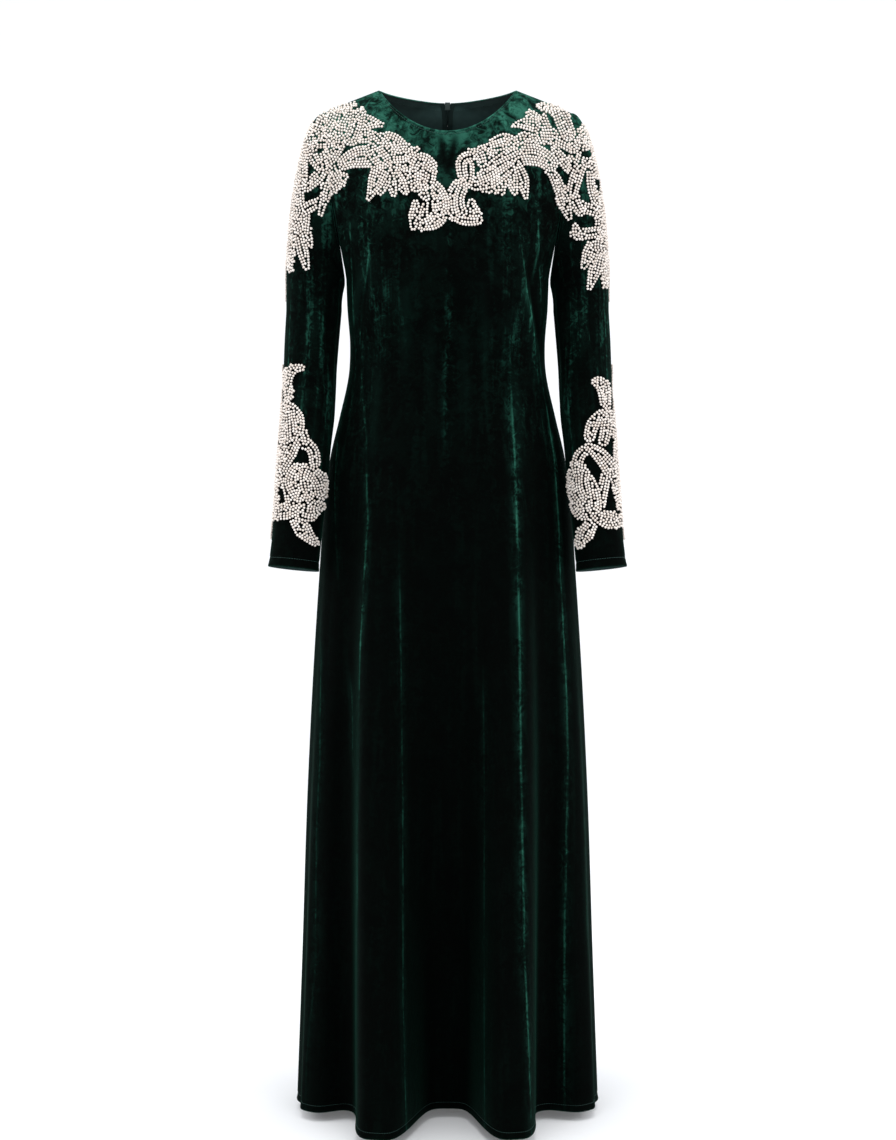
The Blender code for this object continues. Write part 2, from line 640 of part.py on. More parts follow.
def zip_slider(dress, cutters, backs):
    """Slider body lying on the tapes, with a bridge that stands out through the notch."""
    y, z = nape_points(backs)
    pivot_y, pivot_z, _ = zip_pivot(backs)
    lean = math.atan2(y[1] - y[0], z[0] - z[1])
    below_neck = SLIDER_HEIGHT / 2 - SLIDER_ABOVE_NECK
    inward = CLOTH + TAPE_THICKNESS + 2 * SEAM_GAP + SLIDER_THICKNESS / 2
    root = y[0] + below_neck * math.sin(lean) - inward * math.cos(lean)
    body_z = z[0] - below_neck * math.cos(lean) - inward * math.sin(lean)
    body_size = (SLIDER_WIDTH, SLIDER_THICKNESS, SLIDER_HEIGHT)
    body = box_mesh("zip_slider", (0.0, root, body_z), body_size, SLIDER_BEVEL, lean)
    slider = add_piece(dress, "zip_slider", body, "zip_metal")
    reach = pivot_y + EYE_DEPTH / 2 + BRIDGE_WALL
    tall = EYE_HEIGHT + 2 * BRIDGE_WALL
    bridge_data = box_mesh(
        "bridge", (0.0, (root + reach) / 2, pivot_z), (BRIDGE_THICKNESS, reach - root, tall)
    )
    bridge = bpy.data.objects.new("bridge", bridge_data)
    eye_data = box_mesh(
        "bridge_eye", (0.0, pivot_y, pivot_z), (BRIDGE_THICKNESS * 3, EYE_DEPTH, EYE_HEIGHT)
    )
    eye = bpy.data.objects.new("bridge_eye", eye_data)
    for helper in (bridge, eye):
        cutters.objects.link(helper)
        helper.hide_render = True
        helper.display_type = "WIRE"
    joined = slider.modifiers.new("bridge", "BOOLEAN")
    joined.operation = "UNION"
    joined.object = bridge
    pierced = slider.modifiers.new("eye", "BOOLEAN")
    pierced.operation = "DIFFERENCE"
    pierced.object = eye


def tab_outline(curve, points):
    line = curve.splines.new("POLY")
    line.points.add(len(points) - 1)
    for place, (x, y) in zip(line.points, points):
        place.co = (x, y, 0.0, 1.0)
    line.use_cyclic_u = True


def zip_pull_tab(dress, backs):
    """Flat drop-shaped tab whose top bar passes through the slider's bridge."""
    pivot_y, pivot_z, slope = zip_pivot(backs)
    bar = TAB_THICKNESS / 2
    top = [(-TAB_WIDTH / 2, bar), (TAB_WIDTH / 2, bar)]
    neck = [
        (TAB_WIDTH / 2, -TAB_SLOT_LENGTH - TAB_SHOULDER_RUN),
        (TAB_WAIST_HALF_WIDTH, -TAB_SLOT_LENGTH - TAB_WAIST_RUN),
    ]
    foot = TAB_FOOT_RADIUS
    turn = np.linspace(0.0, math.pi, 9)
    drop = [(foot * math.cos(a), -TAB_LENGTH + foot - foot * math.sin(a)) for a in turn]
    outline = top + neck + drop + [(-x, y) for x, y in reversed(neck)]
    slot = TAB_SLOT_WIDTH / 2
    hole = [(-slot, -bar), (-slot, -TAB_SLOT_LENGTH), (slot, -TAB_SLOT_LENGTH), (slot, -bar)]
    curve = bpy.data.curves.new("zip_pull_tab", "CURVE")
    curve.dimensions = "2D"
    curve.fill_mode = "BOTH"
    curve.extrude = TAB_THICKNESS / 2
    tab_outline(curve, outline)
    tab_outline(curve, hole)
    tab = add_piece(dress, "zip_pull_tab", curve, "zip_metal")
    tab.location = (0.0, pivot_y, pivot_z)
    tab.rotation_euler = (math.radians(90) + slope, 0.0, 0.0)


def stroke_circles(row):
    """Centres and radii along one stroke of the beadwork."""
    stroke = {name: value / 1000 for name, value in zip(STROKE_COLUMNS, row)}
    t = np.linspace(0.0, 1.0, STROKE_SAMPLES)
    x = stroke["x0"] * (1 - t) ** 2 + 2 * stroke["x1"] * t * (1 - t) + stroke["x2"] * t * t
    y = stroke["y0"] * (1 - t) ** 2 + 2 * stroke["y1"] * t * (1 - t) + stroke["y2"] * t * t
    wide = np.interp(t, (0.0, 0.5, 1.0), (stroke["wide0"], stroke["wide1"], stroke["wide2"]))
    return np.stack([x, y], axis=-1), wide / 2


def pad_distance(points, strokes):
    """Signed distance from points to the union of the strokes, negative inside."""
    nearest = np.full(points.shape[:-1], 1.0)
    for row in strokes:
        centres, radii = stroke_circles(row)
        for a, b, start, end in zip(centres[:-1], centres[1:], radii[:-1], radii[1:]):
            along = b - a
            t = np.clip(((points - a) @ along) / (along @ along), 0.0, 1.0)
            apart = np.linalg.norm(points - a - t[..., None] * along, axis=-1)
            nearest = np.minimum(nearest, apart - (start + (end - start) * t))
    return nearest


def pad_outline_cells(strokes):
    """Cuts the strokes' area into cells of a square grid: points, faces and signed distances."""
    reach = [stroke_circles(row) for row in strokes]
    low = np.min([np.min(c - r[:, None], axis=0) for c, r in reach], axis=0) - BEAD_CELL
    high = np.max([np.max(c + r[:, None], axis=0) for c, r in reach], axis=0) + BEAD_CELL
    counts = np.ceil((high - low) / BEAD_CELL).astype(int)
    places = np.stack(
        np.meshgrid(*(low[k] + np.arange(counts[k] + 1) * BEAD_CELL for k in range(2)), indexing="ij"),
        axis=-1,
    )
    value = pad_distance(places, strokes)
    points, index, faces = [], {}, []

    def corner(key):
        if key not in index:
            index[key] = len(points)
            points.append(places[key])
        return index[key]

    def crossing(a, b):
        a, b = sorted((a, b))
        if (a, b) not in index:
            index[(a, b)] = len(points)
            t = value[a] / (value[a] - value[b])
            t = min(max(t, SHORTEST_CUT), 1 - SHORTEST_CUT)
            points.append(places[a] * (1 - t) + places[b] * t)
        return index[(a, b)]

    for i in range(counts[0]):
        for j in range(counts[1]):
            around = [(i, j), (i + 1, j), (i + 1, j + 1), (i, j + 1)]
            face = []
            for here, after in zip(around, around[1:] + around[:1]):
                if value[here] < 0:
                    face.append(corner(here))
                if (value[here] < 0) != (value[after] < 0):
                    face.append(crossing(here, after))
            if face:
                faces.append(face)
    return np.array(points), faces


def pad_lift(flat, faces, seats, place):
    """How far each point stands off, so that the pad clears the cloth between its points too."""
    under = np.array([point + normal * BEAD_CLEARANCE for point, normal in seats])
    lift = np.full(len(flat), BEAD_CLEARANCE)
    for face in faces:
        groups = [face] + [[a, b] for a, b in itertools.combinations(face, 2)]
        for group in groups:
            point, normal = place(*flat[group].mean(axis=0))
            clear = (under[group].mean(axis=0) - point) @ normal
            lift[group] = np.maximum(lift[group], BEAD_CLEARANCE + max(0.0, BEAD_CLEARANCE - clear))
    return lift


def bead_pad(dress, name, strokes, place):
    """A raised pad laid on the cloth: its outline is the strokes', and it is crowned."""
    flat, faces = pad_outline_cells(strokes)
    inside = np.clip(-pad_distance(flat, strokes) / BEAD_CROWN_RUN, 0.0, 1.0)
    height = BEAD_BASE + BEAD_CROWN * smooth_step(inside)
    mesh = bmesh.new()
    seats = [place(x, y) for x, y in flat]
    lift = pad_lift(flat, faces, seats, place)
    bottom, top = [], []
    for (point, normal), low, rise in zip(seats, lift, height):
        bottom.append(mesh.verts.new(point + normal * low))
        top.append(mesh.verts.new(point + normal * (low + rise)))
    edges = {}
    for face in faces:
        mesh.faces.new([top[k] for k in face])
        mesh.faces.new([bottom[k] for k in reversed(face)])
        for a, b in zip(face, face[1:] + face[:1]):
            edges[(a, b)] = edges.get((a, b), 0) + 1
    for a, b in edges:
        if (b, a) not in edges:
            mesh.faces.new((top[b], top[a], bottom[a], bottom[b]))
    add_piece(dress, name, finished_mesh(name, mesh), "beadwork")


def surface_tree(grid, closed=False):
    """A search tree over the faces of a grid of points."""
    rows, columns = grid.shape[:2]
    last = columns if closed else columns - 1
    faces = []
    for i in range(rows - 1):
        for j in range(last):
            k = (j + 1) % columns
            a, b, c, d = i * columns + j, (i + 1) * columns + j, (i + 1) * columns + k, i * columns + k
            faces.append((a, b, c, d))
    return BVHTree.FromPolygons([tuple(p) for p in grid.reshape(-1, 3)], faces)


def chest_place(tree, side):
    def place(x, drop):
        point, normal, _, _ = tree.ray_cast((side * x, -1.0, -drop), (0.0, 1.0, 0.0))
        if point is None:
            raise ValueError(f"beadwork misses the front at {x:.3f}, {drop:.3f}")
        return np.array(point), np.array(normal) * (-1.0 if normal.y > 0 else 1.0)

    return place


def arm_axis(drop):
    """Middle of the sleeve at a height, carried up under the shoulder."""
    if drop >= SLEEVE["drop"][0]:
        return of_table(SLEEVE, "out", drop), of_table(SLEEVE, "fore", drop)
    return of_table(CAP_AXIS, "out", drop), 0.0


def sleeve_place(tree, side):
    def place(around, drop):
        out, fore = arm_axis(drop)
        angle = around / SLEEVE_ROUND
        way = np.array([side * math.sin(angle), -math.cos(angle), 0.0])
        centre = np.array([side * out, -fore, -drop])
        point, normal, _, _ = tree.ray_cast(tuple(centre + way * BEYOND_SLEEVE), tuple(-way))
        if point is None:
            raise ValueError(f"beadwork misses the sleeve at {around:.3f}, {drop:.3f}")
        normal = np.array(normal)
        return np.array(point), normal * math.copysign(1.0, normal @ way)

    return place


def beadwork(dress, front, sleeves):
    front_tree = surface_tree(front[0])
    for name, strokes, side in (
        ("beads_chest_right", CHEST_RIGHT, -1.0),
        ("beads_chest_left", CHEST_LEFT, 1.0),
    ):
        bead_pad(dress, name, strokes, chest_place(front_tree, side))
    for side, shoulder, cuff, hand in (
        (-1.0, SHOULDER_RIGHT, CUFF_RIGHT, "right"),
        (1.0, SHOULDER_LEFT, CUFF_LEFT, "left"),
    ):
        tree = surface_tree(sleeves[side], closed=True)
        for name, strokes in (("beads_shoulder_", shoulder), ("beads_cuff_", cuff)):
            bead_pad(dress, name + hand, strokes, sleeve_place(tree, side))


clear_scene()
dress = new_collection("maxi_dress")
cutters = new_collection("cutters")
front = front_panel(dress)
backs = back_halves(dress)
sleeves = {
    side: sleeve(dress, name, side, front, backs)
    for name, side in (("sleeve_right", -1.0), ("sleeve_left", 1.0))
}
zip_tapes(dress, backs)
zip_slider(dress, cutters, backs)
zip_pull_tab(dress, backs)
beadwork(dress, front, sleeves)
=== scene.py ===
import math

import bpy
import numpy as np
from mathutils.bvhtree import BVHTree
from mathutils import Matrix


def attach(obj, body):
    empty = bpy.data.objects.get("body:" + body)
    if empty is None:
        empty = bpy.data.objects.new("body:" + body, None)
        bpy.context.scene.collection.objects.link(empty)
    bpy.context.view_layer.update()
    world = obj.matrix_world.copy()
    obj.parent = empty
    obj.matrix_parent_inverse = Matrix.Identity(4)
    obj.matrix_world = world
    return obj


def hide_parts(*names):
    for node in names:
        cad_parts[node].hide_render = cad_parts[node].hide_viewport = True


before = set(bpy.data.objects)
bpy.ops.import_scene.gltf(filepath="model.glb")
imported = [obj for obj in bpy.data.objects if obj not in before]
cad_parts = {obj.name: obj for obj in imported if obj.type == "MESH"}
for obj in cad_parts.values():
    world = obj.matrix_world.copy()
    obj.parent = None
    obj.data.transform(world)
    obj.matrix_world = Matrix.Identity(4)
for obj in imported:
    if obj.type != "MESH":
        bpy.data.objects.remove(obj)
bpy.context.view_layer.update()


# Front panel: one length of velvet from the shoulder seams to the hem, cut A-line with a scooped
# neck. Its neck edge is turned in and stitched, and the skirt falls into two deep round folds
# beside the centre. It is sewn to the back at the shoulders and sides.
CLOTH = 0.0016
SEAM_GAP = 0.0003
NECK_HALF_WIDTH = 0.094
SHOULDER_HALF_WIDTH = 0.172
SHOULDER_DROP = 0.030
NECK_DROP = {"front": 0.065, "back": 0.011}
NECK_CURVE = 0.82
UNDERARM_DROP = 0.262
HEM_DROP = 1.419
ARMHOLE_SCOOP = {"front": 0.052, "back": 0.045}
ARMHOLE_ROUNDNESS = 0.55
MOST_SCOOP_SHARE = 0.97
SHOULDER_ROUNDING = 0.050
NAPE_ROUNDING = 0.014
PANEL_COLUMNS = 160
ARMHOLE_ROWS = 44
SKIRT_ROWS = 126
RING_SAMPLES = 1441

YOKE = {
    "drop": (0.000, 0.030, 0.060, 0.100, 0.154, 0.210, 0.262),
    "armhole": (0.172, 0.172, 0.1695, 0.1655, 0.159, 0.150, 0.141),
    "front": (0.046, 0.062, 0.078, 0.096, 0.112, 0.122, 0.128),
    "back": (0.058, 0.061, 0.074, 0.090, 0.101, 0.106, 0.105),
}

BODY = {
    "drop": (0.262, 0.303, 0.353, 0.387, 0.454, 0.504, 0.568, 0.672, 0.793, 0.963, 1.220, 1.419),
    "width": (0.141, 0.1395, 0.136, 0.1372, 0.1512, 0.1632, 0.172, 0.180, 0.188, 0.197, 0.2065, 0.2141),
    "front": (0.128, 0.125, 0.112, 0.106, 0.105, 0.108, 0.112, 0.116, 0.117, 0.114, 0.107, 0.100),
    "back": (0.105, 0.099, 0.087, 0.084, 0.094, 0.106, 0.116, 0.122, 0.124, 0.126, 0.128, 0.130),
}

# The large folds, by angle from centre front, and the way each stands out
FOLDS = {
    "angle": (0, -24.5, 23, -42, 41, -60, 61, 180, 152, -154, 121, -120),
    "half_width": (9, 11.2, 10.6, 6, 6, 10, 10, 9, 11, 11, 12, 12),
    "depth": (-0.046, 0.112, 0.108, -0.012, -0.014, 0.020, 0.018, -0.040, 0.078, 0.074, 0.036, 0.038),
    "sway": (0, -7, 7, -5, 5, -2, 2, 0, -5, 5, -2, 2),
    "aim": (0, -4, 4, -42, 41, -30, 30, 180, 172, -172, 166, -166),
    "start": (0.52, 0.43, 0.43, 0.60, 0.60, 0.55, 0.55, 0.60, 0.50, 0.50, 0.58, 0.58),
}
FOLD_GROWTH = 1.15

# Creases in the front: from, over and to points in mm from centre front and below the neck
# points, with the half width and depth in mm. A negative depth is a trough.
FRONT_CREASES = (
    # x0, d0, x1, d1, x2, d2, half width, depth
    (-104, 232, -113, 280, -119, 330, 5.0, -2.6),
    (-112, 236, -122, 286, -128, 340, 5.5, 2.0),
    (104, 216, 120, 300, 134, 394, 5.0, -2.8),
    (96, 222, 111, 304, 124, 398, 6.0, 2.0),
    (-134, 206, -131, 240, -126, 270, 4.0, -2.2),
    (131, 206, 128, 236, 123, 264, 4.0, -2.4),
    (-10, 68, -6, 96, 0, 128, 5.0, -2.6),
    (11, 68, 7, 96, 1, 128, 5.0, -2.6),
    (74, 34, 86, 42, 101, 51, 3.0, -2.6),
    (60, 48, 68, 54, 77, 58, 2.6, -2.2),
    (70, 63, 78, 68, 87, 72, 2.6, -2.2),
    (78, 30, 92, 40, 104, 52, 2.6, 1.2),
    (-52, 250, -56, 330, -60, 410, 7.0, 1.2),
    (44, 262, 50, 340, 52, 420, 7.0, 1.1),
    (-20, 300, -22, 380, -24, 470, 6.0, 0.9),
    (22, 310, 24, 390, 26, 480, 6.0, 0.9),
    (-92, 360, -96, 430, -104, 520, 6.0, 1.6),
    (88, 366, 94, 440, 102, 520, 6.0, 1.6),
)

# Painted highlights on the front: bright runs of the pile where a fold's flank turns to the light,
# painted into its colour, from right to left: drop in mm, place across the panel from 0 to 1, and
# brightness.
FRONT_HIGHLIGHT_RUNS = (
    ((0, 0.010, 0.0), (693, 0.059, 0.0), (788, 0.091, 0.4), (926, 0.100, 0.45), (1024, 0.092, 0.4),
     (1205, 0.092, 0.5), (1348, 0.071, 0.2)),
    ((0, 0.030, 0.0), (405, 0.034, 0.3), (436, 0.040, 0.8), (498, 0.095, 0.9), (567, 0.121, 0.6),
     (649, 0.147, 0.35), (700, 0.160, 0.0), (1419, 0.150, 0.0)),
    ((0, 0.080, 0.0), (430, 0.125, 0.0), (600, 0.200, 0.0), (800, 0.185, 0.0), (840, 0.193, 0.5),
     (900, 0.192, 0.5), (960, 0.195, 0.0), (1419, 0.180, 0.0)),
    ((150, 0.140, 0.0), (191, 0.130, 0.5), (240, 0.116, 0.8), (290, 0.120, 0.6), (340, 0.130, 0.2),
     (385, 0.160, 0.2), (429, 0.196, 0.4), (484, 0.241, 0.4), (592, 0.271, 0.6), (646, 0.266, 1.0),
     (768, 0.252, 1.0), (836, 0.252, 0.6), (917, 0.252, 0.6), (1012, 0.247, 0.85), (1106, 0.250, 0.9),
     (1244, 0.233, 0.8), (1419, 0.205, 0.7)),
    ((150, 0.255, 0.0), (213, 0.236, 0.5), (259, 0.212, 0.9), (306, 0.179, 0.8), (353, 0.150, 0.4),
     (372, 0.165, 0.0), (430, 0.230, 0.0), (600, 0.315, 0.0), (1419, 0.290, 0.0)),
    ((600, 0.365, 0.0), (700, 0.372, 0.4), (888, 0.378, 0.45), (970, 0.379, 0.65), (1078, 0.375, 0.5),
     (1240, 0.365, 0.6), (1419, 0.368, 0.7)),
    ((780, 0.590, 0.0), (830, 0.592, 0.3), (917, 0.596, 0.35), (1081, 0.602, 0.4), (1244, 0.612, 0.4),
     (1419, 0.626, 0.5)),
    ((400, 0.718, 0.2), (443, 0.711, 0.6), (524, 0.699, 0.95), (619, 0.695, 1.0), (780, 0.695, 0.9),
     (914, 0.696, 0.8), (1048, 0.702, 0.9), (1181, 0.709, 0.95), (1289, 0.720, 0.8), (1419, 0.732, 0.8)),
    ((190, 0.742, 0.1), (213, 0.750, 0.5), (280, 0.775, 0.95), (347, 0.842, 0.9), (401, 0.862, 0.5),
     (440, 0.850, 0.0), (520, 0.800, 0.0), (1419, 0.800, 0.0)),
    ((150, 0.820, 0.0), (185, 0.829, 0.6), (241, 0.850, 0.9), (292, 0.870, 0.6), (340, 0.892, 0.15),
     (385, 0.893, 0.4), (429, 0.886, 0.8), (498, 0.870, 0.9), (566, 0.863, 0.7), (663, 0.862, 0.9),
     (759, 0.870, 1.0), (842, 0.877, 0.8), (925, 0.879, 0.6), (1022, 0.879, 0.9), (1120, 0.880, 0.8),
     (1261, 0.885, 0.8), (1419, 0.892, 0.4)),
    ((690, 0.905, 0.0), (775, 0.913, 0.3), (845, 0.924, 0.3), (929, 0.936, 0.35), (1167, 0.935, 0.4),
     (1260, 0.935, 0.0)),
)
RUN_REACH = 0.044

CREASE_DEPTH = 0.0026
CREASE_FADE = 0.012
HEM_STITCHED = 0.0095
NECK_STITCHED = {"front": 0.0052, "back": 0.0120}

# Heights between which each zone fades in: the yoke and lower yoke take painted light from above over
# crushed mottling, the bodice brushed streaks with painted sheen at its sides
PILE_AND_LIGHT_ZONES = {
    "yoke": (-0.150, -0.040),
    "lower_yoke": (-0.230, -0.120),
    "bodice": (-0.66, -0.30),
}
# Colours of the pile, from near black up to the pale teal of its painted highlights and top light
PILE_SHADES = (
    (0.0, (0.0005, 0.0010, 0.0008, 1.0)),
    (0.16, (0.0016, 0.0066, 0.0048, 1.0)),
    (0.42, (0.0080, 0.043, 0.030, 1.0)),
    (1.0, (0.036, 0.165, 0.116, 1.0)),
)
REVERSE_SHADES = (0.022, 0.047, 0.045, 1.0), (0.040, 0.078, 0.074, 1.0)


def smooth_value(at, knots, values):
    """A smooth curve through a table's values, flat beyond its ends."""
    knots, values = np.asarray(knots, float), np.asarray(values, float)
    slopes = np.gradient(values, knots)
    at = np.clip(np.asarray(at, float), knots[0], knots[-1])
    i = np.clip(np.searchsorted(knots, at, side="right") - 1, 0, len(knots) - 2)
    span = knots[i + 1] - knots[i]
    t = (at - knots[i]) / span
    return (
        values[i] * (1 + 2 * t) * (1 - t) ** 2
        + slopes[i] * span * t * (1 - t) ** 2
        + values[i + 1] * t**2 * (3 - 2 * t)
        + slopes[i + 1] * span * t**2 * (t - 1)
    )


def of_table(table, column, drop):
    return smooth_value(drop, table["drop"], table[column])


def smooth_step(t):
    t = np.clip(t, 0.0, 1.0)
    return t * t * (3 - 2 * t)


def unit(vectors):
    return vectors / np.linalg.norm(vectors, axis=-1, keepdims=True)


def shoulder_line(x):
    run = (np.abs(x) - NECK_HALF_WIDTH) / (SHOULDER_HALF_WIDTH - NECK_HALF_WIDTH)
    return SHOULDER_DROP * np.clip(run, 0.0, 1.0)


def ridge_rounding(x, below, face):
    radius = SHOULDER_ROUNDING
    if face == "back":
        out = smooth_step(np.abs(x) / NECK_HALF_WIDTH)
        radius = NAPE_ROUNDING + (SHOULDER_ROUNDING - NAPE_ROUNDING) * out
    turned = np.clip(below / radius, 0.0, 1.0)
    return np.sqrt(1 - (1 - turned) ** 2)


def yoke_depth(x, drop, face):
    """How far the cloth stands before or behind the shoulder seam, above the underarm."""
    deep = of_table(YOKE, face, drop)
    run = np.clip((drop - SHOULDER_DROP) / (UNDERARM_DROP - SHOULDER_DROP), 0.0, 1.0)
    scoop = ARMHOLE_SCOOP[face] * np.sin(math.pi * run) ** ARMHOLE_ROUNDNESS
    at_edge = ridge_rounding(SHOULDER_HALF_WIDTH, np.maximum(drop - SHOULDER_DROP, 1e-6), face)
    share = np.clip(scoop / (deep * at_edge), 0.0, MOST_SCOOP_SHARE)
    full_width = of_table(YOKE, "armhole", drop) / np.sqrt(1 - share**2)
    across = np.sqrt(np.clip(1 - (x / full_width) ** 2, 0.0, 1.0))
    return deep * across * ridge_rounding(x, drop - shoulder_line(x), face)


def skirt_ring(degrees, drop):
    """Points round the body at one height, with the large folds."""
    angle = np.radians(degrees)
    deep = np.where(np.cos(angle) > 0, of_table(BODY, "front", drop), of_table(BODY, "back", drop))
    x = of_table(BODY, "width", drop) * np.sin(angle)
    y = -deep * np.cos(angle)
    for centre, half, depth, sway, aim, start in zip(*FOLDS.values()):
        grown = max(0.0, (drop - start) / (HEM_DROP - start)) ** FOLD_GROWTH
        away = (degrees - centre - sway * (1 - grown) + 180) % 360 - 180
        out = depth * grown * 0.5 ** ((away / half) ** 4)
        x = x + out * math.sin(math.radians(aim))
        y = y - out * math.cos(math.radians(aim))
    return np.stack([x, y, np.full_like(x, -drop)], axis=-1)


def evenly_spaced(line, count, evenness):
    own = np.linspace(0.0, 1.0, len(line))
    length = np.concatenate([[0], np.cumsum(np.linalg.norm(np.diff(line, axis=0), axis=1))])
    measure = own * (1 - evenness) + length / length[-1] * evenness
    wanted = np.linspace(0.0, 1.0, count)
    return np.stack([np.interp(wanted, measure, line[:, k]) for k in range(3)], axis=-1)


def rows_to_edge(first, last, count, spread, near_edge):
    """Heights from first to last, with extra rows at the given distances from the turned edge."""
    drops = first + (last - first) * (np.arange(count + 1) / count) ** spread
    kept = [drop for drop in drops if drop < last - max(near_edge) - 0.001]
    return kept + [last - away for away in sorted(near_edge, reverse=True)]


HEM_ROWS = (0.0, 0.0015, 0.0035, 0.006, 0.0085, 0.0095, 0.0105, 0.013, 0.0165, 0.021)


def panel_grid(face):
    """Outer points of the whole front or back, one row for each height, from -X to +X."""
    side = np.linspace(-1.0, 1.0, PANEL_COLUMNS + 1)
    top_x = side * SHOULDER_HALF_WIDTH
    neck = NECK_DROP[face] * (1 - np.clip(np.abs(top_x) / NECK_HALF_WIDTH, 0, 1) ** 2) ** NECK_CURVE
    top_drop = np.where(np.abs(top_x) < NECK_HALF_WIDTH - 1e-6, neck, shoulder_line(top_x))
    toward = -1.0 if face == "front" else 1.0
    rows = []
    for t in (np.arange(ARMHOLE_ROWS) / ARMHOLE_ROWS) ** 1.35:
        edge_drop = SHOULDER_DROP + (UNDERARM_DROP - SHOULDER_DROP) * t
        drop = top_drop + (UNDERARM_DROP - top_drop) * t
        across = side * (1 - t) + np.sin(side * math.pi / 2) * t
        x = across * of_table(YOKE, "armhole", edge_drop)
        rows.append(np.stack([x, toward * yoke_depth(x, drop, face), -drop], axis=-1))
    for drop in rows_to_edge(UNDERARM_DROP, HEM_DROP, SKIRT_ROWS, 1.4, HEM_ROWS):
        t = (drop - UNDERARM_DROP) / (HEM_DROP - UNDERARM_DROP)
        start = -90 if face == "front" else 270
        dense = skirt_ring(np.linspace(start, 90, RING_SAMPLES), drop)
        rows.append(evenly_spaced(dense, PANEL_COLUMNS + 1, smooth_step(1.6 * t ** (1 / 1.4))))
    return np.array(rows)


def outward_normals(grid, closed=False):
    down = np.gradient(grid, axis=0)
    if closed:
        along = (np.roll(grid, -1, axis=1) - np.roll(grid, 1, axis=1)) / 2
    else:
        along = np.gradient(grid, axis=1)
    return unit(np.cross(down, along))


def body_panel(face):
    """Outer points and normals of the front or back, parted from its neighbours at the seams."""
    grid = panel_grid(face)
    toward = -1.0 if face == "front" else 1.0
    normals = outward_normals(grid)
    normals = normals * math.copysign(1.0, normals[len(grid) // 2, PANEL_COLUMNS // 2, 1] * toward)
    slope = SHOULDER_DROP / (SHOULDER_HALF_WIDTH - NECK_HALF_WIDTH)
    shoulders = np.abs(grid[0, :, 0]) >= NECK_HALF_WIDTH
    normals[0, shoulders] = unit(np.stack([
        np.sign(grid[0, shoulders, 0]) * slope, np.zeros(shoulders.sum()), np.ones(shoulders.sum())
    ], axis=-1))
    grid[0, shoulders, 1] += toward * SEAM_GAP / 2
    for edge in (0, -1):
        normals[ARMHOLE_ROWS:, edge, 1] = 0.0
        normals[ARMHOLE_ROWS:, edge] = unit(normals[ARMHOLE_ROWS:, edge])
        grid[ARMHOLE_ROWS:, edge, 1] += toward * SEAM_GAP / 2
    return grid, normals


def creases(across, drop, table):
    """Height of a panel's creases at each point, in metres."""
    raised = np.zeros(across.shape)
    for x0, d0, x1, d1, x2, d2, half, depth in table:
        t = np.linspace(0, 1, 13)
        line_x = (x0 * (1 - t) ** 2 + 2 * x1 * t * (1 - t) + x2 * t * t) / 1000
        line_d = (d0 * (1 - t) ** 2 + 2 * d1 * t * (1 - t) + d2 * t * t) / 1000
        away = np.full(across.shape, 9.0)
        place = np.zeros(across.shape)
        for k in range(len(t) - 1):
            bx, bd = line_x[k + 1] - line_x[k], line_d[k + 1] - line_d[k]
            s = np.clip(((across - line_x[k]) * bx + (drop - line_d[k]) * bd) / (bx * bx + bd * bd), 0, 1)
            apart = np.hypot(across - line_x[k] - s * bx, drop - line_d[k] - s * bd)
            closer = apart < away
            away = np.where(closer, apart, away)
            place = np.where(closer, t[k] + s * (t[k + 1] - t[k]), place)
        taper = np.sin(math.pi * np.clip(place, 0.02, 0.98)) ** 0.7
        raised += depth / 1000 * taper * np.exp(-((away / (half / 1000)) ** 2))
    return raised


def painted_highlight_runs(across, scale, drop, runs):
    """Each point's place among the painted highlight runs, whole on a run, and how bright the painted
    highlight of the nearest run is.
    """
    place, bright = np.zeros(across.shape), np.zeros(across.shape)
    nearest = np.full(across.shape, 9.0)
    for number, run in enumerate(runs, 1):
        at = np.array(run, float)
        away = (across - np.interp(drop, at[:, 0] / 1000, at[:, 1])) * scale
        closer = np.abs(away) < nearest
        nearest = np.where(closer, np.abs(away), nearest)
        place = np.where(closer, number + np.clip(away / RUN_REACH, -0.5, 0.5), place)
        bright = np.where(closer, np.interp(drop, at[:, 0] / 1000, at[:, 2]), bright)
    return place, bright


def across_panel(grid):
    """Share of the way across a panel at each point, and the metres that the whole share spans."""
    steps = np.linalg.norm(np.diff(grid, axis=1), axis=2)
    length = np.concatenate([np.zeros((len(grid), 1)), np.cumsum(steps, axis=1)], axis=1)
    share = np.broadcast_to(np.linspace(0.0, 1.0, grid.shape[1]), length.shape)
    return share, np.gradient(length, axis=1) * (grid.shape[1] - 1)


def run_down(grid):
    """Distance of each point from the top edge, measured down its own column."""
    steps = np.linalg.norm(np.diff(grid, axis=0), axis=2)
    return np.concatenate([np.zeros((1, grid.shape[1])), np.cumsum(steps, axis=0)])


def turned_edge(away, stitched):
    """An edge rolled over its turning, with the hollow that the row of stitches pulls in."""
    roll = 0.0008 * np.exp(-(((away - 0.0022) / 0.0022) ** 2))
    return roll - 0.0007 * np.exp(-(((away - stitched) / 0.0016) ** 2))


def seam_hollow(away):
    return -0.0012 * np.exp(-((away / 0.0045) ** 2))


def grid_faces(rows, columns, closed):
    """The four corners of every face of a grid of points, joined round if it is closed."""
    last = columns if closed else columns - 1
    i, j = np.meshgrid(np.arange(rows - 1), np.arange(last), indexing="ij")
    k = (j + 1) % columns
    corners = (i * columns + j, (i + 1) * columns + j, (i + 1) * columns + k, i * columns + k)
    return np.stack(corners, axis=-1).reshape(-1, 4)


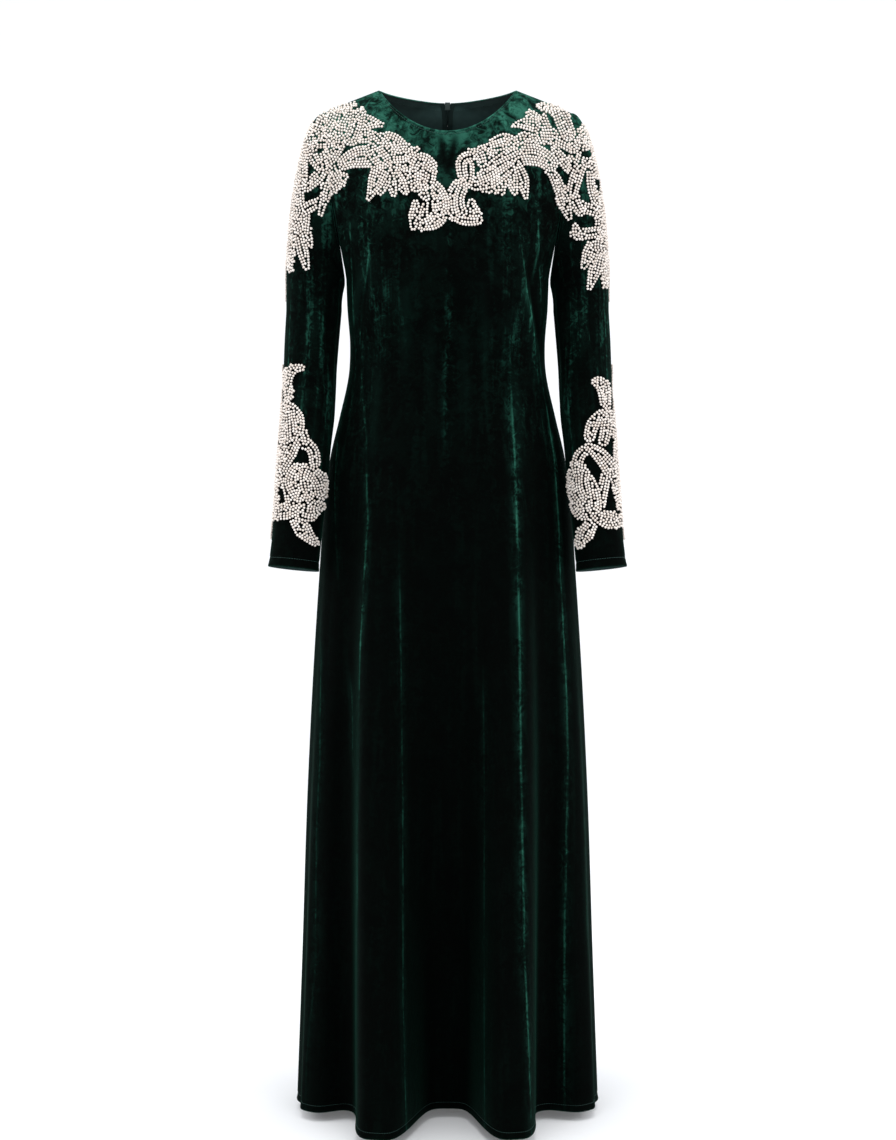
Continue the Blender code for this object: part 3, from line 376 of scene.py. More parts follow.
def wall(name, outer, normals, closed=False):
    """A sheet with its face, its reverse and the edge between them, as one closed mesh."""
    rows, columns = outer.shape[:2]
    last = columns if closed else columns - 1
    count = rows * columns
    points = np.concatenate([outer.reshape(-1, 3), (outer - normals * CLOTH).reshape(-1, 3)])
    face = grid_faces(rows, columns, closed)
    reverse = face[:, ::-1] + count
    j = np.arange(last)
    k = (j + 1) % columns
    low = (rows - 1) * columns
    edges = [np.stack([j, k, k + count, j + count], axis=-1)]
    edges.append(np.stack([low + k, low + j, low + j + count, low + k + count], axis=-1))
    if not closed:
        a = np.arange(rows - 1) * columns
        b = a + columns
        edges.append(np.stack([b, a, a + count, b + count], axis=-1))
        a, b = a + columns - 1, b + columns - 1
        edges.append(np.stack([a, b, b + count, a + count], axis=-1))
    faces = np.concatenate([face, reverse] + edges)
    centre = points[face].mean(axis=1)
    turn = np.cross(points[face[:, 2]] - points[face[:, 0]], points[face[:, 3]] - points[face[:, 1]])
    outward = centre - points[reverse[:, ::-1]].mean(axis=1)
    if np.sum(turn * outward) < 0:
        faces = faces[:, ::-1]
    mesh = bpy.data.meshes.new(name)
    mesh.from_pydata(points.tolist(), [], faces.tolist())
    parts = (len(face), len(face), len(faces) - 2 * len(face))
    mesh.polygons.foreach_set("material_index", np.repeat([0, 1, 0], parts))
    mesh.shade_smooth()
    mesh.set_sharp_from_angle(angle=math.radians(60))
    made = bpy.data.objects.new(name, mesh)
    bpy.context.scene.collection.objects.link(made)
    return made


class Shade:
    """A value on its way through a material's nodes. Sums on it add Math nodes."""

    def __init__(self, tree, socket):
        self.tree, self.socket = tree, socket

    @classmethod
    def node(cls, tree, kind, settings=None, inputs=None, output=0):
        made = tree.nodes.new(kind)
        for name, value in (settings or {}).items():
            if name == "stops":
                ramp = made.color_ramp.elements
                while len(ramp) < len(value):
                    ramp.new(0.5)
                for stop, (place, colour) in zip(ramp, value):
                    stop.position = place
                    stop.color = colour
            else:
                setattr(made, name, value)
        for name, value in (inputs or {}).items():
            if isinstance(value, Shade):
                tree.links.new(value.socket, made.inputs[name])
            else:
                made.inputs[name].default_value = value
        return cls(tree, made.outputs[output])

    def out(self, name):
        return Shade(self.tree, self.socket.node.outputs[name])

    def maths(self, operation, *others):
        values = {k: value for k, value in enumerate((self,) + others)}
        return Shade.node(self.tree, "ShaderNodeMath", {"operation": operation}, values)

    def __add__(self, other):
        return self.maths("ADD", other)

    def __sub__(self, other):
        return self.maths("SUBTRACT", other)

    def __rsub__(self, other):
        return self.maths("MULTIPLY_ADD", -1.0, other)

    def __mul__(self, other):
        return self.maths("MULTIPLY", other)

    __radd__ = __add__
    __rmul__ = __mul__

    def between(self, low, high):
        """0 below low, 1 above high, smooth from one to the other."""
        return Shade.node(
            self.tree, "ShaderNodeMapRange", {"interpolation_type": "SMOOTHSTEP"},
            {"Value": self, "From Min": low, "From Max": high},
        )

    def mixed(self, first, second):
        """The first colour where this is 0, and the second where it is 1."""
        return Shade.node(
            self.tree, "ShaderNodeMix", {"data_type": "RGBA"}, {0: self, 6: first, 7: second}, 2
        )


def new_finish(name, **constants):
    """A material with a Principled shader, its even values set on its own sockets."""
    made = bpy.data.materials.new(name)
    made.use_nodes = True
    shader = made.node_tree.nodes["Principled BSDF"]
    for socket, value in constants.items():
        shader.inputs[socket.replace("_", " ")].default_value = value
    return made, made.node_tree, shader


def grain(tree, coords, scale, detail=2.0, roughness=0.5, distortion=0.0):
    return Shade.node(tree, "ShaderNodeTexNoise", None, {
        "Vector": coords, "Scale": scale, "Detail": detail, "Roughness": roughness,
        "Distortion": distortion,
    })


def velvet_finish():
    """Dark emerald pile, black where it is looked straight into, with crushed spots; painted highlights on
    fold runs and creases, painted top light on the yoke, painted shade in creases.
    """
    made, tree, shader = new_finish(
        "velvet_pile", Roughness=0.9, Specular_IOR_Level=0.02, Sheen_Weight=0.10,
        Sheen_Roughness=0.30, Sheen_Tint=(0.04, 0.30, 0.20, 1.0),
    )

    def held(label):
        return Shade.node(tree, "ShaderNodeAttribute", {"attribute_name": label}).out("Fac")

    coords = Shade.node(tree, "ShaderNodeTexCoord", output="Object")
    place = Shade.node(tree, "ShaderNodeSeparateXYZ", None, {0: coords})
    height, aside = place.out("Z"), place.out("X").maths("ABSOLUTE")
    hung = Shade.node(tree, "ShaderNodeMapping", None, {"Vector": coords, "Scale": (1.0, 1.0, 0.07)})
    streak = grain(tree, hung, 75.0, 4.0, 0.62, 0.2)
    hair = grain(tree, hung, 520.0, 2.0, 0.6)
    broad = grain(tree, coords, 24.0, 3.0, 0.6, 0.8)
    crushed = grain(tree, coords, 90.0, 4.0, 0.65, 1.4)
    fibre = grain(tree, coords, 1500.0, 1.0)
    yoke = height.between(*PILE_AND_LIGHT_ZONES["yoke"])
    lower_yoke = height.between(*PILE_AND_LIGHT_ZONES["lower_yoke"]) * (1 - yoke)
    bodice = height.between(*PILE_AND_LIGHT_ZONES["bodice"]) * (1 - yoke)
    mottled = (broad * 0.55 + crushed * 0.45).between(0.41, 0.60)
    # Painted top light: the yoke paler over its crushed mottling, fading down through the lower yoke
    chest = yoke * (0.15 + mottled * 0.55) + lower_yoke * mottled * 0.24
    brushed = (streak * 0.62 + crushed * 0.38).between(0.49, 0.66)
    # Brushed streaks and crushed mottling of the pile, paler towards the bodice sides as painted sheen
    fall = brushed * (0.03 + bodice * (0.05 + aside.between(0.03, 0.11) * 0.20))
    fall = fall + mottled * (0.015 + bodice * 0.035)
    # Painted highlight: a pale brushed band down the ridge of the centre front
    painted_centre_highlight = (1 - aside.between(0.001, 0.012)) * height.between(-0.70, -0.40)
    painted_centre_highlight = painted_centre_highlight * (1 - height.between(-0.19, -0.14)) * brushed
    # Distances from a painted highlight run, in mm, frayed where the pile is crushed
    frayed = (crushed - 0.5) * 9.0 + (broad - 0.5) * 10.0 + (hair - 0.5) * 5.0
    away = held("pile_place").maths("PINGPONG", 0.5) * (RUN_REACH * 1000)
    uneven = (streak * 0.55 + crushed * 0.30 + broad * 0.15).between(0.40, 0.58) * 0.80 + 0.20
    core = 1 - (away + frayed * 0.30).between(0.3, 2.8)
    glow = 1 - (away + frayed * 1.5).between(0.0, 17.0)
    patchy = (crushed * 0.5 + broad * 0.5).between(0.45, 0.58)
    halo = glow * (0.07 + patchy * 0.22 + hair.between(0.4, 0.6) * 0.08)
    # Painted highlights along the fold flanks: a thin core and a patchy halo round each run
    runs = held("pile_bright") * uneven * (core * 0.40 + halo)
    edge = 1 - (held("edge_away") * 1000).between(0.5, 2.4)
    # Painted highlight on raised creases and painted shade in crease troughs, which also darkens the
    # centre-back seam line
    crease = held("crease")
    raised, painted_crease_shade = crease.maths("MAXIMUM", 0.0), crease.maths("MINIMUM", 0.0)
    pale = chest + fall + painted_centre_highlight * 0.22 + runs + edge * 0.20 + raised * 0.14
    pale = pale * (1 + painted_crease_shade * 0.9).maths("MAXIMUM", 0.0) + (fibre - 0.5) * 0.02
    colour = Shade.node(tree, "ShaderNodeValToRGB", {"stops": PILE_SHADES}, {"Fac": pale})
    tree.links.new(colour.socket, shader.inputs["Base Color"])
    relief = crushed * (0.0004 + yoke * 0.0010) + broad * 0.0010 + fibre * 0.00004 + pale * 0.0004
    bump = Shade.node(tree, "ShaderNodeBump", None, {"Strength": 0.7, "Distance": 1.0, "Height": relief})
    tree.links.new(bump.socket, shader.inputs["Normal"])
    return made


def reverse_finish():
    """The knitted back of the velvet: even, matt charcoal teal with fine wales."""
    made, tree, shader = new_finish(
        "velvet_reverse", Roughness=0.95, Specular_IOR_Level=0.08, Sheen_Weight=0.15
    )
    coords = Shade.node(tree, "ShaderNodeTexCoord", output="Object")
    wales = Shade.node(tree, "ShaderNodeTexWave", {"bands_direction": "X"}, {
        "Vector": coords, "Scale": 240.0, "Distortion": 0.4,
    })
    cloud = grain(tree, coords, 60.0, 3.0)
    colour = (wales * 0.25 + cloud * 0.6).between(0.2, 0.75).mixed(*REVERSE_SHADES)
    tree.links.new(colour.socket, shader.inputs["Base Color"])
    bump = Shade.node(tree, "ShaderNodeBump", None, {
        "Strength": 0.5, "Distance": 1.0, "Height": wales * 0.00012,
    })
    tree.links.new(bump.socket, shader.inputs["Normal"])
    return made


velvet = velvet_finish()
velvet_reverse = reverse_finish()


def from_sides(grid):
    """Distance of each point from the nearer side edge, measured along its own row."""
    from_right = np.linalg.norm(np.diff(grid, axis=1, prepend=grid[:, :1]), axis=2)
    from_left = np.linalg.norm(np.diff(grid, axis=1, append=grid[:, -1:]), axis=2)[:, ::-1]
    return np.minimum(np.cumsum(from_right, axis=1), np.cumsum(from_left, axis=1)[:, ::-1])


def panel_lift(base, crease, neck_stitched):
    """How far a panel stands off its smooth form: its creases, turned edges and seams."""
    from_top, side_away = run_down(base), from_sides(base)
    neck_edge = np.abs(base[0, :, 0]) < NECK_HALF_WIDTH
    lift = crease * smooth_step(side_away / CREASE_FADE)
    lift = lift + turned_edge(from_top[-1] - from_top, HEM_STITCHED) + seam_hollow(side_away)
    return lift + np.where(neck_edge, turned_edge(from_top, neck_stitched), seam_hollow(from_top))


def panel_pile(base, grid, crease, runs):
    """What the velvet's painted light reads at each point: its place among the painted highlight runs, its
    crease and its edges.
    """
    place, bright = painted_highlight_runs(*across_panel(grid), -base[..., 2], runs)
    from_top = run_down(base)
    beside_armhole = (np.arange(len(base)) <= ARMHOLE_ROWS)[:, None]
    side_edge = np.where(beside_armhole, from_sides(base), from_top[-1] - from_top)
    return {
        "pile_place": place, "pile_bright": bright, "crease": crease / CREASE_DEPTH,
        "edge_away": np.minimum(from_top, side_edge),
    }


def hang(piece, node, pile):
    """Gives a velvet piece its two faces, its pile and painted-light values, and its place in the dress.
    """
    for label, values in pile.items():
        held = piece.data.attributes.new(label, "FLOAT", "POINT")
        held.data.foreach_set("value", np.tile(values.ravel(), 2).astype(np.float32))
    piece.data.materials.append(velvet)
    piece.data.materials.append(velvet_reverse)
    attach(piece, "dress")
    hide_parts(node)


front_base, front_normals = body_panel("front")
front_crease = creases(front_base[..., 0], -front_base[..., 2], FRONT_CREASES)
front_lift = panel_lift(front_base, front_crease, NECK_STITCHED["front"])
front_grid = front_base + front_normals * front_lift[..., None]
front_pile = panel_pile(front_base, front_grid, front_crease, FRONT_HIGHLIGHT_RUNS)
front = wall("front_velvet", front_grid, front_normals)
hang(front, "front", front_pile)


# Back: two panels joined by the centre-back seam, which the zip opens from the neck down. They
# carry the back neckline, and the skirt's back folds are shallower than the front's.
BACK_CREASES = (
    # x0, d0, x1, d1, x2, d2, half width, depth
    (-86, 150, -96, 200, -118, 258, 6.0, -1.8),
    (86, 150, 98, 204, 120, 262, 6.0, -2.0),
    (-40, 300, -46, 352, -60, 400, 7.0, -1.6),
    (44, 296, 50, 350, 64, 404, 7.0, -1.6),
    (-96, 330, -104, 390, -112, 470, 6.0, 1.8),
    (98, 338, 106, 398, 114, 476, 6.0, 1.8),
    (-24, 380, -28, 440, -30, 520, 7.0, 1.2),
    (24, 388, 30, 446, 30, 530, 7.0, 1.2),
    (-60, 60, -70, 78, -84, 104, 5.0, -1.0),
    (58, 62, 70, 82, 86, 108, 5.0, -1.1),
)
# Painted highlights on the back, bright runs where a fold's flank turns to the light: drop in mm, place
# across the panel from 0 to 1, and brightness
BACK_HIGHLIGHT_RUNS = (
    ((420, 0.050, 0.2), (560, 0.090, 0.6), (800, 0.110, 0.5), (1100, 0.110, 0.4), (1419, 0.100, 0.3)),
    ((200, 0.190, 0.0), (270, 0.200, 0.5), (360, 0.240, 0.4), (560, 0.270, 0.8), (900, 0.280, 0.9),
     (1419, 0.290, 0.7)),
    ((560, 0.400, 0.0), (700, 0.405, 0.5), (1000, 0.410, 0.7), (1419, 0.405, 0.5)),
    ((600, 0.595, 0.0), (760, 0.600, 0.5), (1060, 0.592, 0.6), (1419, 0.596, 0.5)),
    ((210, 0.800, 0.0), (290, 0.795, 0.5), (380, 0.760, 0.4), (600, 0.730, 0.9), (960, 0.722, 0.8),
     (1419, 0.710, 0.7)),
    ((440, 0.945, 0.2), (600, 0.905, 0.5), (860, 0.890, 0.6), (1150, 0.892, 0.4), (1419, 0.900, 0.3)),
)
NOTCH_HALF_WIDTH = 0.0045
NOTCH_DEPTH = 0.0112
CENTRE_SEAM_SHARE = 0.3
CENTRE_SEAM_DARK = 0.8
CENTRE_SEAM_WIDTH = 0.0016
CENTRE_SEAM_TOP = 0.03

# The zip's tapes raise the cloth over them a little, most at the hollow of the waist
ZIP_RIDGE = {
    "drop": (0.02, 0.25, 0.31, 0.35, 0.38, 0.41, 0.46, 0.56),
    "rise": (0.0000, 0.0004, 0.0012, 0.0032, 0.0038, 0.0028, 0.0010, 0.0000),
}
ZIP_RIDGE_WIDTH = 0.020

back_base, back_normals = body_panel("back")
back_drop, centre_away = -back_base[..., 2], np.abs(back_base[..., 0])
back_crease = creases(back_base[..., 0], back_drop, BACK_CREASES)
back_lift = panel_lift(back_base, back_crease, NECK_STITCHED["back"])
back_lift += seam_hollow(centre_away) * CENTRE_SEAM_SHARE * (back_drop > CENTRE_SEAM_TOP)
back_lift += of_table(ZIP_RIDGE, "rise", back_drop) * np.exp(-((centre_away / ZIP_RIDGE_WIDTH) ** 2))
back_grid = back_base + back_normals * back_lift[..., None]
back_pile = panel_pile(back_base, back_grid, back_crease, BACK_HIGHLIGHT_RUNS)
back_pile["crease"] -= CENTRE_SEAM_DARK * np.exp(-((centre_away / CENTRE_SEAM_WIDTH) ** 2))
middle = PANEL_COLUMNS // 2
down_centre = run_down(back_base)[:, middle]
for name, node, columns, sign in (
    ("back_right_velvet", "back_right", slice(0, middle + 1), -1.0),
    ("back_left_velvet", "back_left", slice(middle, PANEL_COLUMNS + 1), 1.0),
):
    grid, normals = back_grid[:, columns].copy(), back_normals[:, columns].copy()
    seam = -1 if sign < 0 else 0
    normals[:, seam, 0] = 0.0
    normals[:, seam] = unit(normals[:, seam])
    open_share = np.clip(1 - down_centre / NOTCH_DEPTH, 0.0, 1.0)
    notch = SEAM_GAP / 2 + (NOTCH_HALF_WIDTH - SEAM_GAP / 2) * open_share
    pushed = np.maximum(0.0, notch[:, None] - np.abs(grid[..., 0])) * (np.abs(grid[..., 0]) < 0.02)
    grid[..., 0] += sign * pushed
    half = wall(name, grid, normals)
    hang(half, node, {
        label: values[:, columns] for label, values in back_pile.items()
    })


# Sleeves: one piece each, set into the armhole with a rounded cap and tapering to an open cuff
# that is turned up and stitched. The arm hangs a little forward. The seam runs under the arm.
SLEEVE = {
    "drop": (0.305, 0.353, 0.387, 0.420, 0.454, 0.487, 0.554, 0.620, 0.661),
    "out": (0.1860, 0.1893, 0.1910, 0.1920, 0.1942, 0.1972, 0.2022, 0.2078, 0.2120),
    "fore": (0.000, 0.005, 0.010, 0.017, 0.026, 0.035, 0.049, 0.059, 0.064),
    "half_width": (0.0386, 0.0378, 0.0370, 0.0368, 0.0366, 0.0356, 0.0346, 0.0338, 0.0345),
    "half_depth": (0.0500, 0.0485, 0.0475, 0.0465, 0.0455, 0.0445, 0.0425, 0.0405, 0.0400),
}
CAP_AXIS = {
    "drop": (0.050, 0.100, 0.154, 0.210, 0.262, 0.305),
    "out": (0.148, 0.162, 0.171, 0.178, 0.183, 0.186),
}
CUFF_TILT = 0.0045
CUFF_SLANT = 0.0035
CAP_ROWS = 34
SLEEVE_ROWS = 84
CUFF_ROWS = (0.0, 0.0015, 0.0035, 0.006, 0.009, 0.0115, 0.0125, 0.0135, 0.017)

# Creases of a sleeve: mm round from its front line towards its outer side, and below the neck
SLEEVE_CREASES = (
    # w0, d0, w1, d1, w2, d2, half width, depth
    (-28, 250, -20, 300, -24, 360, 5.0, -1.8),
    (-8, 292, -2, 340, -8, 380, 5.0, 1.2),
    (8, 300, 14, 345, 6, 384, 5.0, -1.2),
    (96, 300, 100, 350, 92, 392, 5.0, 1.2),
    (-40, 390, -34, 440, -38, 500, 5.0, 1.4),
    (-30, 560, -36, 600, -34, 640, 4.0, -1.0),
    (112, 420, 118, 470, 114, 540, 5.0, 1.4),
    (140, 250, 146, 330, 142, 420, 7.0, -2.0),
    (160, 300, 164, 400, 160, 500, 7.0, 1.6),
    (200, 260, 206, 330, 200, 410, 7.0, -1.8),
    (188, 430, 194, 500, 190, 600, 6.0, 1.4),
    (128, 560, 132, 600, 130, 645, 5.0, -1.2),
)
# Painted highlights on a sleeve, bright runs where a fold turns to the light: drop in mm, way round from
# the front line in mm, and brightness
SLEEVE_HIGHLIGHT_RUNS = (
    ((380, -30, 0.0), (430, -28, 0.4), (520, -30, 0.4), (600, -32, 0.0)),
    ((270, -14, 0.0), (310, -14, 0.4), (420, -12, 0.3), (540, -12, 0.0)),
    ((280, 4, 0.0), (330, 4, 0.35), (420, 6, 0.4), (560, 8, 0.0)),
    ((230, 34, 0.0), (270, 33, 0.6), (380, 31, 0.6), (440, 30, 0.0)),
    ((240, 92, 0.0), (300, 94, 0.5), (400, 92, 0.4), (600, 90, 0.2)),
    ((200, 128, 0.0), (280, 130, 0.5), (420, 128, 0.6), (600, 126, 0.3)),
    ((260, 176, 0.0), (340, 178, 0.5), (520, 176, 0.4), (640, 174, 0.0)),
)
SLEEVE_ROUND = 0.040
SLEEVE_SEAM_WAY = 0.208
SLEEVE_CREASE_FADE = 0.020
CUFF_STITCHED = 0.0125


def sleeve_ring(side, drop, turns):
    half_width = of_table(SLEEVE, "half_width", drop)
    half_depth = of_table(SLEEVE, "half_depth", drop)
    out, fore = half_width * np.cos(turns), half_depth * np.sin(turns)
    low = smooth_step((drop - SLEEVE["drop"][0]) / (SLEEVE["drop"][-1] - SLEEVE["drop"][0])) ** 2
    z = -drop + low * (CUFF_TILT * fore / half_depth + CUFF_SLANT * out / half_width)
    x = side * (of_table(SLEEVE, "out", drop) + out)
    return np.stack([x, -(of_table(SLEEVE, "fore", drop) + fore), z], axis=-1)


def sleeve_grid(side):
    """Outer points: the cap curves from the armhole into rings round the arm."""
    column = -1 if side > 0 else 0
    before, behind = slice(0, ARMHOLE_ROWS + 1), slice(ARMHOLE_ROWS - 1, 0, -1)
    edge = np.concatenate([front_base[before, column], back_base[behind, column]])
    edge_normals = np.concatenate([front_normals[before, column], back_normals[behind, column]])
    along = np.roll(edge, -1, axis=0) - np.roll(edge, 1, axis=0)
    away = unit(np.cross(edge_normals, along)) * side
    edge[0, 1] = edge[ARMHOLE_ROWS, 1] = 0.0
    around = 2 * ARMHOLE_ROWS
    turns = np.arange(around) * 2 * math.pi / around
    low = ((1 - np.cos(turns)) / 2)[:, None]
    seam = edge + (edge_normals * low + away * (1 - low)) * SEAM_GAP * 2
    drops = rows_to_edge(SLEEVE["drop"][0], SLEEVE["drop"][-1], SLEEVE_ROWS, 1.0, CUFF_ROWS)
    ring = sleeve_ring(side, drops[0], turns)
    fall = seam[:, 2:3] - ring[:, 2:3]
    leaving = unit(((1 - low) * (1.0, 0.0, -0.36) + low * (0.16, 0.0, -1.0)) * np.array([side, 1.0, 1.0]))
    near = seam + leaving * (0.010 + 0.075 * fall)
    far = ring + np.array([0.0, 0.0, 1.0]) * fall * 0.52
    rows = []
    for t in (np.arange(CAP_ROWS) / CAP_ROWS) ** 1.1:
        kept, left = t, 1 - t
        rows.append(
            seam * left**3 + near * 3 * kept * left**2 + far * 3 * kept * kept * left + ring * kept**3
        )
    return np.array(rows + [sleeve_ring(side, drop, turns) for drop in drops])


def arm_axis(drop):
    below = drop >= SLEEVE["drop"][0]
    out = np.where(below, of_table(SLEEVE, "out", drop), of_table(CAP_AXIS, "out", drop))
    return out, np.where(below, of_table(SLEEVE, "fore", drop), 0.0)


def way_round(side, points):
    """Distance round the sleeve from its front line, outward and back to the seam below the arm."""
    out, fore = arm_axis(-points[..., 2])
    turned = np.arctan2(points[..., 0] * side - out, -(points[..., 1] + fore)) % (2 * math.pi)
    around = SLEEVE_ROUND * turned
    return np.where(around > SLEEVE_SEAM_WAY, around - SLEEVE_ROUND * 2 * math.pi, around)


sleeve_grids, sleeve_normals = {}, {}
for side, hand in ((-1.0, "right"), (1.0, "left")):
    base = sleeve_grid(side)
    normals = outward_normals(base, closed=True)
    normals = normals * math.copysign(1.0, normals[-1, 0, 0] * side)
    around, drop = way_round(side, base), -base[..., 2]
    from_top = run_down(base)
    from_cuff = from_top[-1] - from_top
    crease = creases(around, drop, SLEEVE_CREASES)
    lift = crease * smooth_step(from_top / SLEEVE_CREASE_FADE)
    lift = lift + turned_edge(from_cuff, CUFF_STITCHED) + seam_hollow(from_top)
    grid = base + normals * lift[..., None]
    sleeve_grids[side], sleeve_normals[side] = grid, normals
    piece = wall("sleeve_%s_velvet" % hand, grid, normals, closed=True)
    place, bright = painted_highlight_runs(around * 1000, 0.001, drop, SLEEVE_HIGHLIGHT_RUNS)
    hang(piece, "sleeve_" + hand, {
        "pile_place": place, "pile_bright": bright, "crease": crease / CREASE_DEPTH,
        "edge_away": np.minimum(from_top, from_cuff),
    })


# Beadwork: round pearl beads of nearly 4 mm, sewn down one by one in close rows that follow the
# outline of each leaf and scroll, on the upper chest and along the outside of both sleeves. Some
# scrolls run from the chest over the armhole seam onto the sleeve.
BEAD_PITCH = 0.0039
BEAD_SIZE = 0.0038
ROW_SHARE = 0.90
FILL_SHARE = 0.88
FILL_STEP = 0.0012
FILL_REACH = 0.0004
EYE = (0.0, -3.4, -0.45)
STROKE_PLANE = -0.100
MOST_SLANTING = 0.1
PLACE_JITTER = 0.04
BEAD_HEIGHT_SHARE = 0.9
BEAD_SEAT_SHARE = 0.42
BEAD_SHADES = (0.74, 0.65, 0.58, 1.0), (0.95, 0.89, 0.84, 1.0)

# Strokes in mm, as they look from in front: start, bend and end as x from centre front and drop,
# and the width at each
CHEST_RIGHT = (
    (-131, 47, -137, 61, -139, 72, 14, 19, 16),
    (-115, 45, -123, 59, -129, 77, 14, 24, 24),
    (-129, 63, -107, 53, -88, 61, 19, 22, 7),
    (-149, 77, -129, 76, -108, 77, 16, 19, 16),
    (-107, 70, -98, 73, -91, 81, 7, 12, 12),
    (-102, 89, -96, 99, -87, 108, 19, 24, 24),
    (-91, 93, -80, 79, -64, 89, 24, 33, 22),
    (-80, 103, -59, 99, -40, 93, 19, 27, 5),
    (-45, 117, -38, 96, -22, 115, 14, 18, 18),
    (-24, 115, -20, 128, -26, 139, 16, 16, 16),
    (-38, 112, -34, 124, -37, 137, 16, 18, 18),
    (-138, 111, -121, 99, -95, 104, 20, 30, 30),
    (-87, 112, -95, 136, -106, 159, 27, 23, 7),
    (-83, 120, -84, 139, -90, 150, 16, 18, 10),
    (-80, 123, -75, 139, -72, 152, 14, 16, 10),
    (-71, 123, -63, 139, -56, 149, 16, 18, 11),
    (-60, 131, -49, 139, -42, 145, 16, 18, 12),
    (-80, 111, -65, 111, -56, 123, 14, 18, 12),
    (-57, 125, -48, 131, -34, 139, 14, 19, 16),
    (-36, 147, -32, 152, -28, 158, 11, 15, 10),
    (-36, 136, -8, 146, -9, 170, 20, 24, 25),
    (-9, 167, -9, 191, -30, 193, 25, 24, 17),
    (-31, 190, -34, 178, -29, 166, 15, 13, 9),
    (-43, 165, -43, 182, -46, 197, 11, 18, 10),
    (-45, 196, -34, 194, -22, 196, 9, 13, 12),
)
CHEST_LEFT = (
    (13, 140, 0, 160, 9, 181, 15, 18, 18),
    (22, 147, 13, 161, 22, 177, 11, 11, 11),
    (10, 181, 22, 190, 41, 187, 15, 16, 14),
    (32, 164, 33, 176, 40, 185, 12, 19, 16),
    (21, 129, 13, 104, 30, 103, 15, 16, 16),
    (29, 101, 44, 93, 46, 111, 15, 16, 14),
    (28, 113, 29, 125, 25, 137, 16, 18, 19),
    (49, 119, 67, 107, 88, 96, 7, 12, 16),
    (28, 137, 55, 129, 83, 107, 16, 19, 18),
    (36, 143, 60, 139, 80, 120, 11, 19, 16),
    (45, 139, 52, 144, 56, 147, 14, 15, 11),
    (60, 133, 63, 143, 65, 148, 16, 16, 11),
    (71, 128, 72, 140, 73, 150, 16, 16, 10),
    (82, 117, 86, 136, 90, 150, 18, 19, 10),
    (91, 115, 102, 133, 105, 157, 18, 20, 7),
    (44, 91, 60, 95, 76, 89, 8, 22, 24),
    (55, 102, 67, 97, 81, 89, 8, 16, 19),
    (63, 84, 76, 77, 87, 85, 14, 19, 19),
    (79, 88, 90, 95, 99, 89, 16, 24, 14),
    (91, 104, 117, 93, 137, 111, 27, 30, 24),
    (90, 61, 103, 57, 116, 61, 7, 16, 19),
    (111, 46, 119, 59, 122, 77, 10, 24, 27),
    (129, 51, 130, 64, 133, 77, 10, 18, 19),
    (107, 79, 116, 76, 126, 77, 12, 16, 16),
    (94, 81, 99, 77, 105, 73, 12, 14, 10),
)
SHOULDER_RIGHT = (
    (-154, 35, -159, 51, -169, 68, 22, 24, 19),
    (-147, 43, -151, 56, -158, 69, 11, 14, 14),
    (-150, 39, -138, 41, -123, 33, 19, 11, 5),
    (-174, 84, -157, 85, -137, 76, 16, 16, 19),
    (-184, 59, -186, 72, -181, 88, 11, 19, 19),
    (-187, 88, -181, 104, -173, 115, 14, 16, 14),
    (-173, 111, -158, 104, -144, 89, 19, 24, 14),
    (-192, 87, -192, 107, -193, 133, 5, 12, 12),
    (-201, 107, -203, 117, -200, 131, 7, 11, 8),
    (-168, 121, -172, 129, -189, 143, 14, 18, 15),
    (-138, 129, -152, 131, -163, 155, 12, 27, 12),
    (-154, 118, -158, 128, -162, 143, 12, 20, 15),
    (-164, 153, -168, 165, -171, 179, 11, 11, 8),
    (-169, 160, -183, 168, -196, 176, 11, 16, 16),
    (-199, 139, -202, 160, -200, 187, 14, 19, 19),
    (-191, 172, -195, 187, -194, 203, 16, 19, 16),
    (-191, 198, -187, 211, -184, 222, 14, 12, 7),
    (-199, 211, -194, 230, -190, 250, 14, 16, 10),
    (-207, 187, -211, 214, -211, 253, 11, 14, 8),
)
SHOULDER_LEFT = (
    (123, 35, 130, 38, 141, 40, 7, 11, 11),
    (146, 36, 153, 53, 162, 72, 18, 22, 22),
    (159, 35, 163, 36, 169, 39, 10, 11, 8),
    (135, 75, 151, 77, 168, 88, 18, 22, 22),
    (189, 59, 184, 72, 172, 83, 11, 19, 14),
    (174, 88, 185, 89, 195, 83, 14, 16, 14),
    (192, 67, 196, 75, 196, 85, 11, 14, 11),
    (143, 92, 152, 104, 161, 117, 11, 15, 14),
    (173, 96, 170, 107, 162, 117, 14, 18, 14),
    (137, 123, 145, 128, 150, 147, 11, 16, 16),
    (150, 145, 157, 163, 164, 183, 16, 19, 10),
    (180, 113, 171, 131, 168, 152, 16, 18, 16),
    (167, 149, 160, 155, 153, 157, 16, 16, 14),
    (168, 155, 173, 168, 179, 176, 16, 16, 14),
    (181, 111, 200, 105, 203, 128, 12, 14, 12),
    (192, 127, 191, 144, 198, 161, 12, 12, 12),
    (207, 131, 210, 144, 206, 163, 7, 8, 10),
    (173, 169, 187, 171, 202, 176, 16, 16, 16),
    (172, 194, 173, 200, 176, 208, 8, 12, 14),
    (172, 204, 184, 207, 200, 203, 15, 16, 16),
    (204, 168, 209, 195, 206, 224, 16, 19, 19),
    (195, 219, 190, 232, 184, 249, 16, 18, 10),
    (203, 235, 198, 257, 191, 278, 16, 18, 8),
    (209, 227, 211, 251, 212, 275, 14, 12, 7),
)
